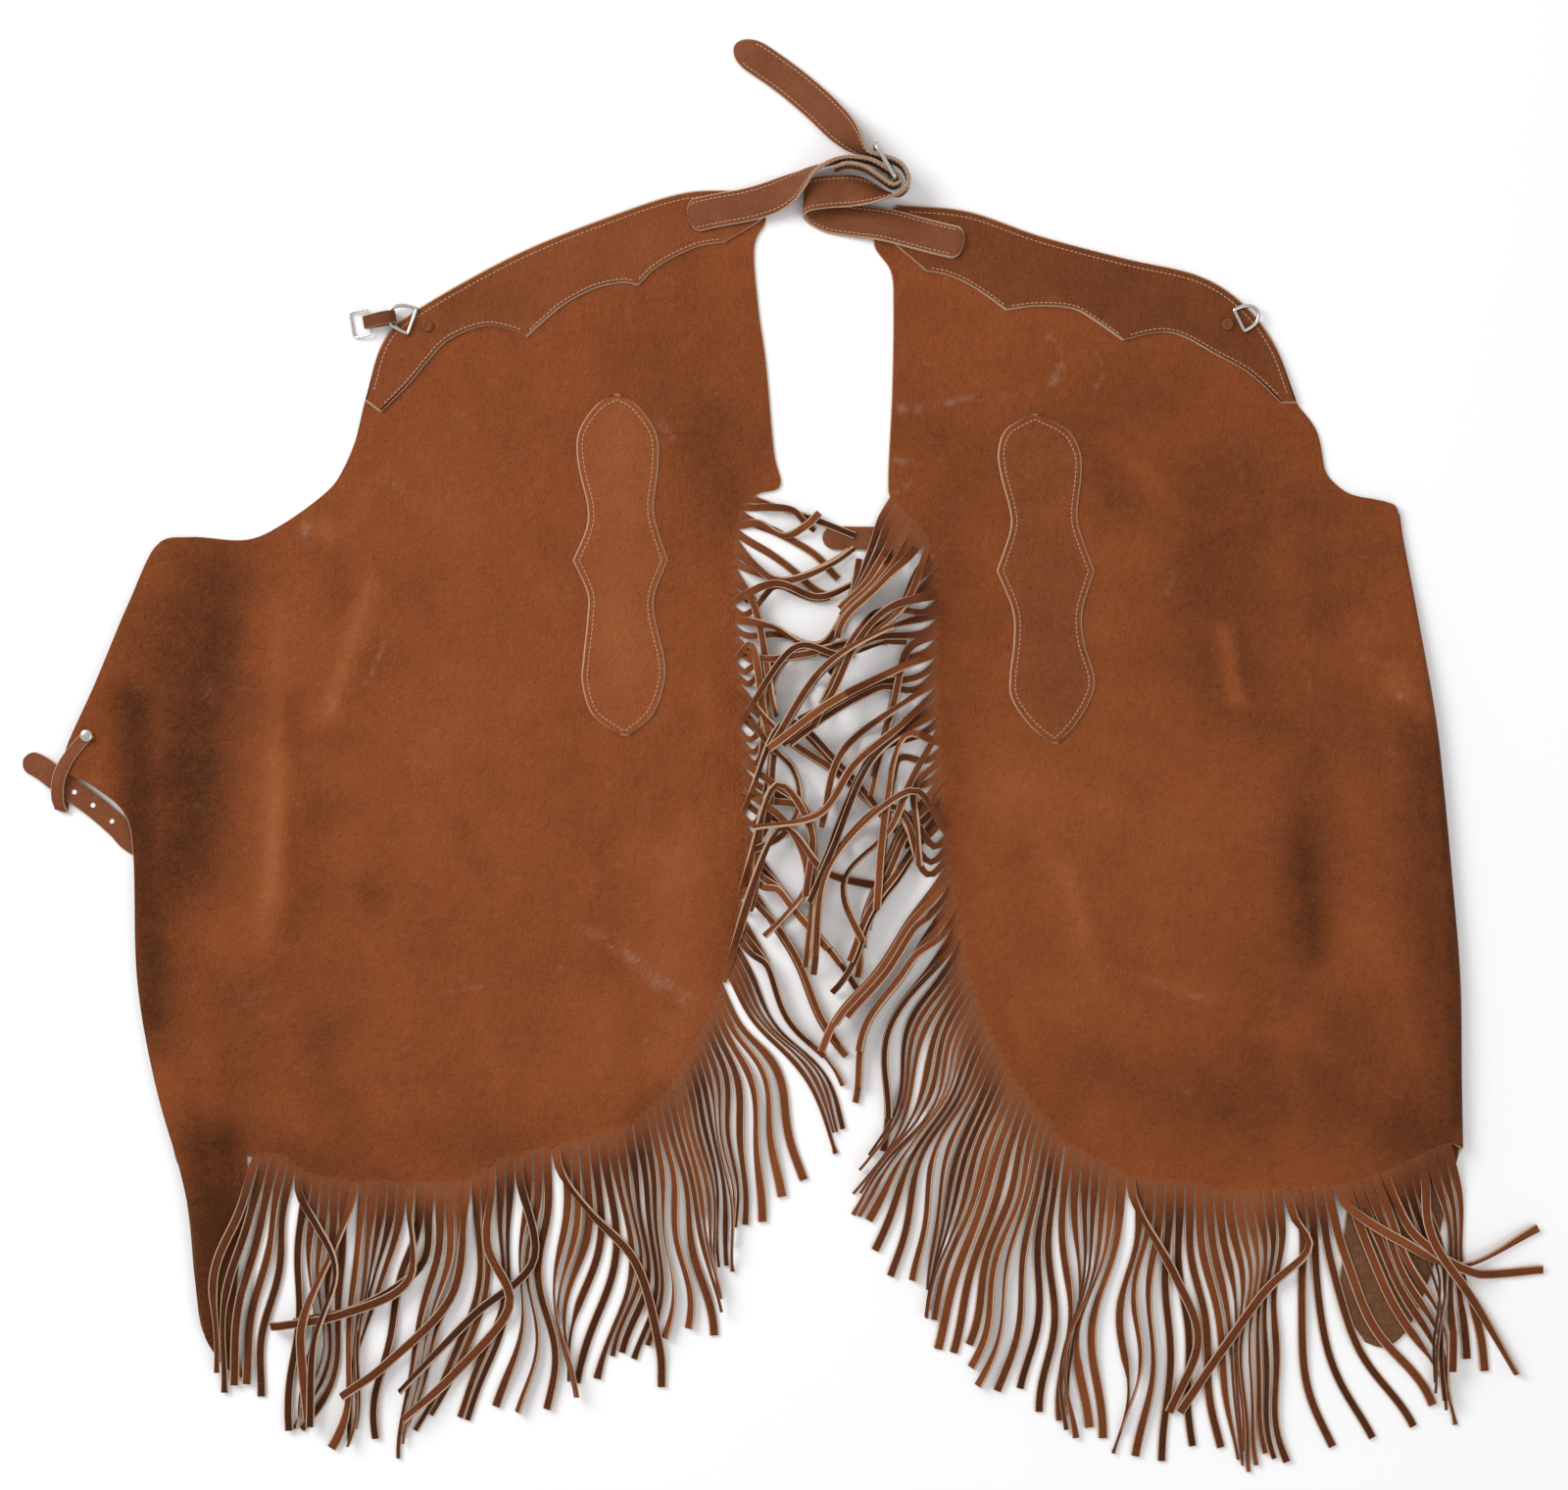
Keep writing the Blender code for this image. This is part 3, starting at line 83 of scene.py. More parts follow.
# Edges of the left leg, in order from the waist down, columns x, y
LEFT_TOP = [(-319, 268), (-306, 312), (-282, 336), (-208, 378), (-138, 407), (-76, 427), (-26, 429)]
LEFT_INNER = [
    (-26, 429), (-12, 408), (-21, 386), (-18, 340), (-12, 296), (-6, 230), (-1, 203), (-20, 196),
    (-31, 178), (-35, 144), (-36, 114), (-34, 60), (-31, 4), (-28, -72), (-31, -102), (-38, -146),
    (-47, -182), (-58, -205), (-74, -236), (-90, -262), (-112, -284),
]
LEFT_FRINGE_START = (-20, 196)
LEFT_FRINGE_END = 406
LEFT_HEM = [
    (-112, -284), (-130, -292), (-172, -303), (-212, -313), (-250, -331), (-310, -330),
    (-359, -326), (-384, -311), (-409, -310),
]
LEFT_TONGUE = [(-409, -310), (-409, -345), (-415, -395), (-417, -440), (-413, -474), (-408, -482)]
LEFT_OUTER = [
    (-319, 268), (-325, 241), (-336, 215), (-349, 198), (-382, 174), (-410, 162), (-452, 164),
    (-478, 157), (-500, 110), (-525, 50), (-546, 3), (-546, -15), (-524, -28), (-502, -48),
    (-495, -82), (-492, -175), (-478, -255), (-454, -340), (-446, -405), (-440, -445), (-426, -470),
    (-408, -482),
]

# Edges of the right leg
RIGHT_TOP = [
    (394, 266), (377, 311), (352, 343), (318, 364), (262, 377), (198, 394), (142, 413), (88, 418),
]
RIGHT_INNER = [
    (88, 418), (70, 390), (83, 367), (85, 338), (84, 275), (81, 210), (83, 193), (94, 179),
    (105, 168), (112, 155), (117, 128), (117, 60), (120, 4), (124, -62), (131, -115), (137, -150),
    (145, -180), (160, -220), (175, -250), (193, -272), (214, -301),
]
RIGHT_FRINGE_START = (83, 193)
RIGHT_FRINGE_END = 512
RIGHT_HEM = [
    (214, -301), (240, -313), (270, -327), (310, -332), (345, -338), (385, -336), (420, -332),
    (455, -322), (482, -310), (506, -299), (519, -303),
]
RIGHT_OUTER = [
    (394, 266), (409, 245), (415, 216), (424, 204), (437, 196), (461, 191), (470, 186), (474, 162),
    (485, 102), (498, 27), (504, -25), (511, -100), (517, -175), (518, -250), (519, -303),
]
FOLD_TOP_Y = 184.0
RIGHT_FLAP_EDGE = [
    (466, 182), (440, 165), (398, 128), (362, 70), (345, 0), (352, -40), (378, -78), (408, -115),
    (432, -165), (440, -215), (438, -290), (430, -370), (428, -420), (446, -452),
]
RIGHT_FLAP_FOOT = [(519, -303), (508, -345), (498, -395), (480, -440), (462, -456), (446, -452)]

# Scalloped lower edges of the yokes, runs between cusps
LEFT_YOKE_EDGE = [
    [(-44, 389), (-63, 386), (-82, 378), (-98, 368), (-110, 356)],
    [(-110, 356), (-122, 358), (-142, 354), (-164, 343), (-178, 332), (-195, 316.5)],
    [(-195, 316.5), (-207, 322), (-228, 325), (-254, 315), (-270, 299), (-285, 281), (-307, 259)],
]
RIGHT_YOKE_EDGE = [
    [(110, 367), (126, 364), (142, 357), (156, 348), (171, 337)],
    [(171, 337), (196, 340), (222, 338), (240, 328), (260, 314)],
    [(260, 314), (287, 320), (306, 317), (330, 304), (357, 289), (382, 266)],
]

# Thigh patches, rows down the middle line: y, left x, right x
LEFT_PATCH = [
    (273, -128, -124), (264, -143, -110), (243, -156, -96), (219, -156, -94.5), (188, -149, -98),
    (170, -150, -95), (146, -160, -87), (121, -149, -97), (102, -149, -97), (72, -152, -90),
    (52, -153, -90), (28, -145, -99), (12, -124, -117),
]
RIGHT_PATCH = [
    (258, 191, 195), (246, 171, 218), (229, 165, 228), (211, 167, 229), (184, 174, 226),
    (168, 174, 228), (138, 164, 239), (108, 176, 230), (84, 177, 231), (57, 174, 239),
    (40, 175.5, 236), (20, 189, 224), (6, 206, 211),
]

# Soft ridges of the lying leather: start x, y, end x, y, height, half width
LEFT_RIDGES = [
    (-540, 20, -498, -110, 9.0, 34.0),
    (-498, 105, -540, 20, 9.0, 34.0),
    (-470, 150, -498, 105, 6.0, 30.0),
    (-492, -110, -455, -300, 8.0, 30.0),
    (-455, -300, -430, -430, 7.0, 28.0),
    (-320, 120, -345, 25, 4.0, 26.0),
    (-375, -20, -398, -150, 4.5, 30.0),
    (-250, -120, -300, -260, 3.0, 34.0),
    (-150, -120, -95, -190, 3.0, 30.0),
]
RIGHT_RIDGES = [
    (330, 100, 345, 30, 3.0, 34.0),
    (220, -80, 240, -180, 3.0, 34.0),
    (330, -150, 350, -260, 3.0, 34.0),
]

# Waist strap stations: x, y, lowest edge z, heading of the width, its rise in degrees
LEFT_WAIST = [
    (-72, 408, 5.1, -77, 0), (-50, 413, 5.1, -77, 0), (-28, 417, 5.1, -77, 0), (-10, 422, 5.1, -75, 3),
    (4, 428, 3.6, -70, 24), (14, 435, 2.6, -66, 52), (24, 443, 2.6, -70, 74), (36, 448, 3.0, -80, 88),
    (48, 451, 3.6, -85, 90), (60, 450.5, 4.2, -90, 90), (70, 448, 4.2, -115, 90),
    (79, 442.8, 4.2, -135, 90),
    (85.2, 438.6, 4.2, -130, 90), (88.9, 436.4, 4.2, 170, 90), (89.3, 432.8, 4.2, 150, 90),
    (86.4, 430.5, 4.2, 90, 90), (82, 431, 4.2, 60, 90), (72, 438, 4.2, 50, 90), (62, 444, 4.0, 70, 90),
    (50, 446.3, 3.8, 95, 90), (40, 443.5, 3.6, 100, 90),
]
RIGHT_WAIST = [
    (139, 387, 5.1, -104, 0), (110, 394, 5.1, -104, 0), (88, 400, 5.1, -104, 0), (74, 403, 5.0, -103, 0),
    (56, 405.5, 2.4, -101, 0), (36, 409, 0.6, -98, 0), (24, 414.5, 0.5, -96, 0), (19.3, 418.5, 2.8, -95, 0),
    (17.6, 421, 6.6, -94, 0), (19.3, 423.2, 10.4, -93, 0), (25, 425, 12.6, -92, 0),
    (36, 426.5, 12.4, -90, 0),
    (48, 427, 11.6, -90, 4), (60, 426.5, 8.6, -88, 24), (72, 425, 5.8, -80, 52), (82, 423.5, 4.4, -75, 76),
    (90, 424.5, 4.2, -75, 90), (95.5, 430, 4.2, 50, 90), (95.5, 438, 4.2, 50, 90), (91.5, 445, 4.2, 50, 90),
    (85.5, 449, 4.2, 50, 90), (79, 451.2, 4.2, 50, 90), (72, 453, 4.2, 50, 90), (65, 455.5, 4.2, 52, 88),
    (59, 460.5, 4.0, 53, 70), (51.5, 469, 3.6, 53, 42), (41, 480, 2.6, 52, 16),
    (26, 495, 1.4, 50, 4), (4, 513.5, 0.6, 51, 0),
    (-18, 529, 0.5, 55, 0), (-36, 540, 0.5, 58, 0),
]
BUCKLE_HINGE = (85.6, 434.4)
BUCKLE_FRONT = (70.8, 459.2)
BUCKLE_BOTTOM = 2.2
PRONG_REACH = 5.5

# Left leg strap: x, y, lowest z
LEFT_LEG_STRAP = [
    (-580, -6, 0.6), (-567, -12, 2.0), (-556, -20, 2.7), (-543.3, -29.2, 2.7), (-525.3, -42.1, 2.7),
    (-508.2, -57.1, 1.4), (-498, -68, 0.6), (-484, -75, 0.5),
]
RIGHT_LEG_STRAP = [(31, 163.5, 0.5), (44, 163.3, 0.5), (62, 163, 0.5), (80, 163, 0.5), (98, 163, 0.5)]

# Hip strap seen from its edge: distance from the ring, height of its middle
HIP_STRAP_PATH = [
    (-2.9, 6.8), (-2.9, 11.0), (1.4, 14.7), (8, 14.5), (14, 10.5), (18.5, 7.7), (20.9, 5.2), (19.5, 2.4),
    (14, 1.4), (6, 1.4), (1.0, 1.5), (-2.3, 3.0),
]

# Keeper of the left leg strap: x, y, z of the middle
KEEPER = [
    (-529, 13, 12.3), (-537, 4, 12.25), (-546, -8, 12.2), (-552, -22, 10.5), (-553, -36, 8.0),
    (-551.5, -43, 5.2), (-551, -45, 2.9), (-550, -40, 1.4), (-548, -25, 1.3), (-540, -6, 1.8),
    (-531, 8, 2.4),
]
KEEPER_WIDTH = 10.0
KEEPER_THICK = 1.7

# Fringe of a leg, rows along its root line: share, heading at the root, at the tip, length
LEFT_FRINGE = [
    (0.00, -30, -12, 80), (0.06, -38, -22, 92), (0.12, -46, -34, 108), (0.20, -50, -42, 130),
    (0.30, -54, -52, 150), (0.42, -60, -64, 165), (0.52, -72, -82, 172), (0.60, -80, -93, 180),
    (0.70, -86, -100, 196), (0.80, -90, -112, 204), (0.92, -95, -106, 196),
    (1.00, -106, -84, 172),
]
RIGHT_FRINGE = [
    (0.00, -122, -118, 84), (0.05, -130, -128, 100), (0.12, -134, -130, 128), (0.22, -132, -124, 150),
    (0.34, -126, -116, 172), (0.46, -120, -110, 190), (0.56, -110, -102, 200), (0.66, -96, -93, 204),
    (0.76, -88, -88, 208), (0.84, -80, -80, 206), (0.92, -68, -76, 190), (1.00, -72, -92, 170),
]

# Strands that cross over the rest: share of their root, then the points that they pass
LEFT_CROSSING = [
    (0.10, [(-5, 128), (28, 118), (58, 130)]),
    (0.16, [(-22, 80), (-14, 30), (-6, -2)]),
    (0.22, [(8, 78), (44, 74), (78, 84)]),
    (0.30, [(2, 22), (46, -12), (90, -64)]),
    (0.38, [(-6, -26), (22, -60), (18, -110)]),
    (0.46, [(-4, -60), (34, -92), (78, -104)]),
    (0.697, [(-144, -354), (-111, -392), (-94, -453), (-92, -486)]),
    (0.90, [(-342, -380), (-366, -440), (-362, -510)]),
]
LEFT_CROSSING_MORE = [
    (0.0, [(1.5, 185), (25.5, 177), (55.5, 165)]),
    (0.014, [(5, 185), (16.5, 176), (25.5, 169)]),
    (0.03, [(-17, 174), (1.5, 165), (18, 172), (28.5, 182)]),
    (0.045, [(-22.5, 144), (-6, 131), (13, 132), (39, 144), (55, 155)]),
    (0.076, [(-21, 110), (-14, 80), (-9, 50), (-4, 27)]),
    (0.117, [(-6, 95), (16.5, 82), (35, 85), (52.5, 117), (59, 147)]),
    (0.14, [(-17, 71), (16.5, 74), (54, 84), (95, 84)]),
    (0.18, [(1.5, 12), (46.5, -19), (80, -51), (97, -73)]),
    (0.205, [(-10, 6), (9, -14), (13.5, -40), (1.5, -63), (-21, -75)]),
    (0.25, [(-6, -25), (18, -44), (24, -78), (22.5, -123), (18, -164)]),
    (0.285, [(0, -51), (16.5, -79), (18, -104), (1.5, -126), (-13.5, -141)]),
    (0.737, [(-190, -389), (-237, -432), (-292, -489)]),
    (0.765, [(-225, -378), (-208, -423), (-250, -475), (-289, -510)]),
    (0.791, [(-237, -363), (-252, -415), (-298, -464), (-336, -492)]),
    (0.825, [(-257, -355), (-276, -393), (-321, -423), (-373, -435)]),
    (0.845, [(-268, -363), (-285, -404), (-336, -429), (-390, -439)]),
    (0.951, [(-346, -351), (-340, -393), (-357, -453), (-360, -515)]),
]
RIGHT_CROSSING_MORE = [
    (0.10, [(80, 108), (55, 80), (35, 39), (13, 25)]),
    (0.135, [(95, 76), (85, 35), (75, -6), (68, -34)]),
    (0.155, [(80, 59), (35, 36), (-10, 2)]),
    (0.195, [(88, 18), (55, -10), (28, -48), (-22, -58)]),
    (0.21, [(80, 5), (60, -21), (40, -70), (21, -114)]),
    (0.225, [(97, -25), (81, -61), (51, -91), (48, -114), (61, -144)]),
    (0.255, [(101, -28), (103, -60), (104, -87)]),
]
RIGHT_CROSSING = [
    (0.06, [(92, 110), (50, 72), (24, 20)]),
    (0.12, [(78, 92), (30, 62), (-8, 4)]),
    (0.18, [(98, 40), (46, 0), (30, -58)]),
    (0.24, [(92, 10), (78, -50), (72, -120)]),
    (0.32, [(96, -30), (36, -88), (24, -170)]),
    (0.70, [(300, -400), (318, -450), (296, -505)]),
    (0.84, [(402, -380), (364, -418), (304, -505)]),
    (0.89, [(470, -372), (520, -392), (578, -364)]),
    (0.93, [(486, -372), (530, -398), (582, -396)]),
    (0.965, [(496, -372), (532, -425), (562, -476)]),
]

# Small creases: start x, y, end x, y, height, half width
LEFT_CREASES = [
    (-377, -10, -396, -145, 1.6, 9.0), (-313, 132, -343, 27, 1.3, 8.0), (-426, 125, -448, -100, -1.6, 22.0),
    (-178, 125, -150, 60, 0.7, 6.0), (-60, 90, -52, 10, 0.8, 6.0), (-80, -20, -60, -90, 0.8, 7.0),
    (-300, 215, -345, 150, 0.8, 7.0), (-440, -200, -430, -330, 1.0, 9.0), (-230, -190, -210, -290, 0.7, 8.0),
    (-120, -150, -90, -205, 0.9, 7.0),
]
RIGHT_CREASES = [
    (331, 95, 343, 39, 1.4, 7.0), (250, 240, 300, 190, 0.9, 8.0), (130, 60, 150, -20, 0.7, 7.0),
    (399, -60, 405, -160, -1.2, 16.0), (222, -85, 234, -145, 0.8, 8.0), (440, 100, 470, -20, 0.8, 9.0),
    (180, -200, 210, -260, 0.8, 8.0), (380, -200, 400, -290, 0.7, 8.0),
]

# Lighter and darker places, partly the leather's own colour and partly painted shade and highlight: start x, y,
# end x, y, tone, half width
LEFT_TONES_AND_SHADING = [
    (-496, 40, -480, -200, -0.85, 22.0), (-400, -300, -300, -335, -0.38, 26.0),
    (-350, -255, -320, -300, -0.3, 26.0), (-88, -85, -82, -165, 0.45, 26.0),
    (-76, -190, -84, -235, 0.4, 22.0), (-112, -284, -84, -262, -0.4, 14.0),
    (-440, 130, -452, 95, -0.45, 46.0), (-452, 95, -458, 20, -0.62, 50.0),
    (-458, 20, -470, -70, -0.66, 46.0), (-476, -70, -487, -150, -0.66, 32.0),
    (-487, -150, -480, -215, -0.5, 22.0), (-520, 20, -535, -5, -0.3, 20.0),
    (-386, 114, -389, 0, 0.30, 8.0), (-389, 0, -388, -108, 0.42, 9.0),
    (-374, 40, -376, -100, -0.22, 9.0), (-311, 122, -348, 30, 0.34, 9.0),
    (-346, 149, -340, 120, -0.3, 16.0), (-362, -40, -366, -130, -0.22, 18.0),
    (-350, 173, -348, 165, 0.5, 6.0), (-317, -109, -313, -113, -0.35, 10.0),
    (-150, -150, -90, -190, -0.15, 10.0), (-373, -48, -372, -138, -0.3, 9.0),
    (-100, 300, -40, 240, -0.25, 50.0), (-353, -211, -350, -240, -0.3, 20.0),
    (-420, -190, -430, -300, -0.3, 34.0), (-435, -300, -428, -440, -1.0, 30.0),
    (-420, -440, -412, -468, 0.35, 14.0), (-60, 250, -40, 190, -0.4, 34.0),
    (-250, 60, -220, -60, 0.1, 70.0), (-80, -120, -60, -150, -0.12, 22.0),
    (-110, -80, -60, -60, 0.22, 22.0), (-170, -250, -140, -220, 0.22, 30.0),
    (-300, -300, -200, -300, -0.25, 22.0), (-390, 110, -388, 90, 0.2, 16.0),
    (-254, -45, -230, -90, -0.2, 12.0),
]
RIGHT_TONES_AND_SHADING = [
    (360, 55, 480, -10, -0.36, 42.0), (400, 190, 412, 110, -0.34, 34.0),
    (170, -30, 240, -45, 0.3, 30.0), (440, -150, 470, -240, 0.28, 32.0),
    (220, -190, 270, -225, 0.3, 26.0), (112, 240, 175, 215, -0.24, 38.0),
    (345, 200, 338, 130, -0.42, 48.0), (338, 130, 335, 60, -0.55, 44.0),
    (330, 60, 400, 20, -0.42, 34.0), (338, 92, 346, 40, 0.55, 5.0), (346, 52, 352, 37, 0.5, 4.0),
    (403, -5, 398, -70, -0.48, 26.0), (398, -70, 405, -150, -0.5, 24.0),
    (405, -150, 390, -200, -0.3, 34.0), (198, -62, 238, -175, 0.30, 12.0),
    (214, -90, 232, -140, 0.42, 6.0), (250, -165, 330, -190, 0.2, 4.0), (470, 50, 486, 32, 0.6, 12.0),
    (120, 160, 135, -40, -0.22, 26.0), (240, 240, 258, 190, -0.35, 26.0),
    (440, -200, 490, -290, -0.55, 44.0), (492, 20, 502, -160, -0.62, 34.0),
    (502, -160, 508, -300, -0.6, 34.0), (506, 10, 516, -280, -0.8, 16.0),
    (230, -245, 330, -262, -0.40, 42.0), (330, -262, 440, -250, -0.42, 44.0),
    (430, 160, 380, 200, -0.2, 60.0), (208, 268, 300, 275, -0.2, 34.0), (250, 20, 270, -60, 0.12, 60.0),
    (200, -220, 240, -260, 0.15, 30.0), (400, 40, 430, -20, 0.14, 34.0),
]
# Scuffs and scratches, with painted sheen among them: start x, y, end x, y, strength, half width
LEFT_RUBS_AND_SHEEN = [
    (-158, -130, -124, -152, 0.45, 2.0), (-124, -152, -84, -182, 0.6, 2.4),
    (-96, -178, -72, -190, 0.4, 4.0), (-366, 176, -362, 164, 0.6, 2.6),
    (-296, 205, -286, 200, 0.25, 2.0), (-350, 40, -340, 36, 0.3, 2.0), (-95, 253, -84, 240, 0.25, 2.2),
    (-430, -180, -380, -186, 0.2, 1.6), (-272, -185, -230, -180, 0.2, 1.4),
    (-300, 92, -318, 52, 0.3, 1.6), (-248, 260, -236, 246, 0.25, 1.8), (-440, 60, -437, 20, 0.18, 1.4),
]
RIGHT_RUBS_AND_SHEEN = [
    (204, 318, 212, 304, 0.5, 2.6), (212, 304, 213, 292, 0.55, 2.6), (213, 292, 206, 280, 0.45, 2.4),
    (238, 302, 245, 290, 0.3, 2.6), (245, 290, 240, 278, 0.25, 2.2), (86, 261, 112, 264, 0.55, 2.8),
    (112, 264, 150, 271, 0.4, 2.0), (150, 271, 196, 272, 0.3, 1.6), (86, 222, 102, 219, 0.4, 2.2),
    (86, 198, 100, 206, 0.35, 2.2), (346, 96, 347, 45, 0.3, 1.2), (250, -165, 326, -190, 0.3, 1.3),
    (399, 60, 403, 44, 0.2, 1.6), (352, 205, 345, 240, 0.18, 1.4), (300, -255, 312, -262, 0.3, 1.8),
    (440, 70, 470, 66, 0.2, 1.4), (300, 140, 294, 120, 0.2, 1.4), (470, 42, 476, 36, 0.5, 3.0),
]
# Lighter and darker places on the yokes and patches, partly own colour and partly painted shade and highlight:
# start x, y, end x, y, tone, half width
LEFT_YOKE_TONES_AND_SHADING = [(-250, 350, -210, 345, -0.2, 20.0), (-120, 385, -60, 400, 0.15, 16.0)]
RIGHT_YOKE_TONES_AND_SHADING = [
    (130, 390, 360, 300, -0.42, 60.0), (208, 345, 206, 320, 0.35, 6.0),
    (300, 335, 360, 300, -0.45, 24.0), (120, 390, 180, 370, -0.25, 18.0),
]
LEFT_PATCH_TONES_AND_SHADING = [(-125, 220, -125, 60, 0.2, 20.0)]
RIGHT_PATCH_TONES_AND_SHADING = [(200, 240, 205, 30, -0.34, 60.0)]
LEG_STRAP_HOLES = {"left_leg_strap": (-541.0, -527.0, -512.5), "right_leg_strap": ()}
HOLES = [(25.5, 430.0, 14.1, 1.9), (33.8, 488.0, 4.4, 1.9)]


# Curves and surfaces


def lengths(line: Array) -> Array:
    """The distance along a line to each of its points."""
    steps = np.linalg.norm(np.diff(line, axis=0), axis=1)
    return np.concatenate([[0.0], np.cumsum(steps)])


def sample(line: Array, along: Array, at: Array) -> Array:
    """Points of the line at given distances along it."""
    return np.stack([np.interp(at, along, line[:, k]) for k in range(line.shape[1])], axis=-1)


def even(line: Array, count: int) -> Array:
    """The line again, with this many points spaced evenly."""
    along = lengths(line)
    return sample(line, along, np.linspace(0, along[-1], count))


def spline(points: Rows | Array, count: int) -> Array:
    """Points on a smooth curve through the given ones.

    The curve is a Catmull-Rom spline: between b and c, with a before and d after, it is half of
    2b + (c - a)t + (2a - 5b + 4c - d)t squared + (3b - a - 3c + d)t cubed.

    Args:
        points: The points that it passes.
        count: How many points to return, spaced evenly by length.

    Returns:
        An array of count points.
    """
    pts = np.array(points, float)
    ends = np.vstack([2 * pts[0] - pts[1], pts, 2 * pts[-1] - pts[-2]])
    t = np.linspace(0, 1, 24, endpoint=False)[None, :, None]
    a, b, c, d = (ends[k: len(ends) - 3 + k][:, None] for k in range(4))
    runs = 0.5 * (2 * b + (c - a) * t + (2 * a - 5 * b + 4 * c - d) * t**2 + (3 * b - a - 3 * c + d) * t**3)
    return even(np.vstack([runs.reshape(-1, pts.shape[1]), pts[-1:]]), count)


def smooth(x: Array | float) -> Array:
    """Rises softly from 0 at 0 to 1 at 1."""
    x = np.clip(x, 0, 1)
    return x * x * (3 - 2 * x)


def distance_to(points: Array, line: Array) -> Array:
    """How far each plan point is from a line.

    Args:
        points: Plan points, in any array shape.
        line: The corners of the line.

    Returns:
        The least distance to any of the line's runs, for each point.
    """
    best = np.full(points.shape[:-1], 1e9)
    for a, b in zip(line[:-1], line[1:]):
        d = b - a
        rel = points - a
        t = np.clip((rel * d).sum(-1) / max(float((d * d).sum()), 1e-9), 0, 1)
        best = np.minimum(best, np.linalg.norm(rel - t[..., None] * d, axis=-1))
    return best


def bells(points: Array, rows: Rows, keep_greatest: bool) -> Array:
    """Sum or greatest of soft bell-shaped ridges along straight runs.

    Args:
        points: Plan points.
        rows: Start x, start y, end x, end y, value at the middle, half width.
        keep_greatest: True takes the greatest value, and False adds them up.

    Returns:
        value times exp(-(distance / half width) squared), joined over the rows.
    """
    out = np.zeros(points.shape[:-1])
    for x0, y0, x1, y1, value, half in rows:
        away = distance_to(points, np.array([(x0, y0), (x1, y1)], float))
        bell = value * np.exp(-((away / half) ** 2))
        out = np.maximum(out, bell) if keep_greatest else out + bell
    return out


def shades(points: Array, rows: Rows) -> Array:
    """The strongest lighter row less the strongest darker one, at each plan point."""
    darker = [(*row[:4], -row[4], row[5]) for row in rows if row[4] < 0]
    return bells(points, [row for row in rows if row[4] > 0], True) - bells(points, darker, True)


def coons(top: Array, bottom: Array, first: Array, last: Array, at: Array | None = None,
          fade: float = 1.0, keep: float = 1.0) -> Array:
    """Fills four edges with a grid.

    Each point is the blend of top and bottom, plus (1 - u) to the power fade times how far the
    first edge stands off its straight line, plus u to the power keep times the same of the last.

    Args:
        top: Edge across, at the waist side.
        bottom: Edge across, at the hem side.
        first: Edge down, at the start.
        last: Edge down, at the end.
        at: Shares across at which columns stand; even when None.
        fade: Power by which the first edge's shape dies away across the grid.
        keep: Power by which the last edge's shape does.

    Returns:
        Grid of points, across first.
    """
    u = np.linspace(0, 1, len(top)) if at is None else at
    if at is not None:
        span = np.linspace(0, 1, len(top))
        top, bottom = sample(top, span, at), sample(bottom, span, at)
    v = np.linspace(0, 1, len(first))[None, :, None]
    across = (1 - v) * top[:, None] + v * bottom[:, None]
    near = ((1 - u) ** fade)[:, None, None] * (first[None] - (1 - v) * first[0] - v * first[-1])
    far = (u**keep)[:, None, None] * (last[None] - (1 - v) * last[0] - v * last[-1])
    return across + near + far


def inward(line: Array, amount: float) -> Array:
    """Moves each point of a plan line to its right by the amount."""
    run = np.gradient(line, axis=0)
    run /= np.linalg.norm(run, axis=1, keepdims=True)
    return line + np.stack([run[:, 1], -run[:, 0]], axis=1) * amount


# Meshes


class Face(Enum):
    """Which side of the hide a face shows."""

    GRAIN = 0
    EDGE = 1
    FLESH = 2


@dataclass
class Shell:
    """Closed surface of quads, in plan millimetres.

    Attributes:
        points: Corner points.
        quads: Four corner numbers a face.
        kinds: Face value of each quad.
        tone: Lightness of the finish at each point, from -1 to 1; partly the leather's own colour and partly
            painted shade and highlight.
        rub_and_sheen: Scuffs where the finish is rubbed off, and painted sheen, at each point, from 0 to 1; none
            when left out.
    """

    points: Array
    quads: Array
    kinds: Array
    tone: Array
    rub_and_sheen: Array | None = None

    def outward(self) -> "Shell":
        """Turns every face over if the shell's volume comes out negative."""
        p = self.points[self.quads]
        middle = self.points.mean(axis=0)
        a, b, c, d = (p[:, k] - middle for k in range(4))
        volume = (np.cross(b, c) * a).sum() + (np.cross(c, d) * a).sum()
        if volume < 0:
            self.quads = self.quads[:, ::-1]
        return self

    @staticmethod
    def joined(shells: list["Shell"]) -> "Shell":
        """One shell of several, numbered on."""
        starts = np.cumsum([0] + [len(s.points) for s in shells[:-1]])
        return Shell(
            np.vstack([s.points for s in shells]),
            np.vstack([s.quads + n for s, n in zip(shells, starts)]),
            np.concatenate([s.kinds for s in shells]),
            np.concatenate([s.tone for s in shells]),
            np.concatenate([np.zeros(len(s.tone)) if s.rub_and_sheen is None else s.rub_and_sheen for s in shells]),
        )


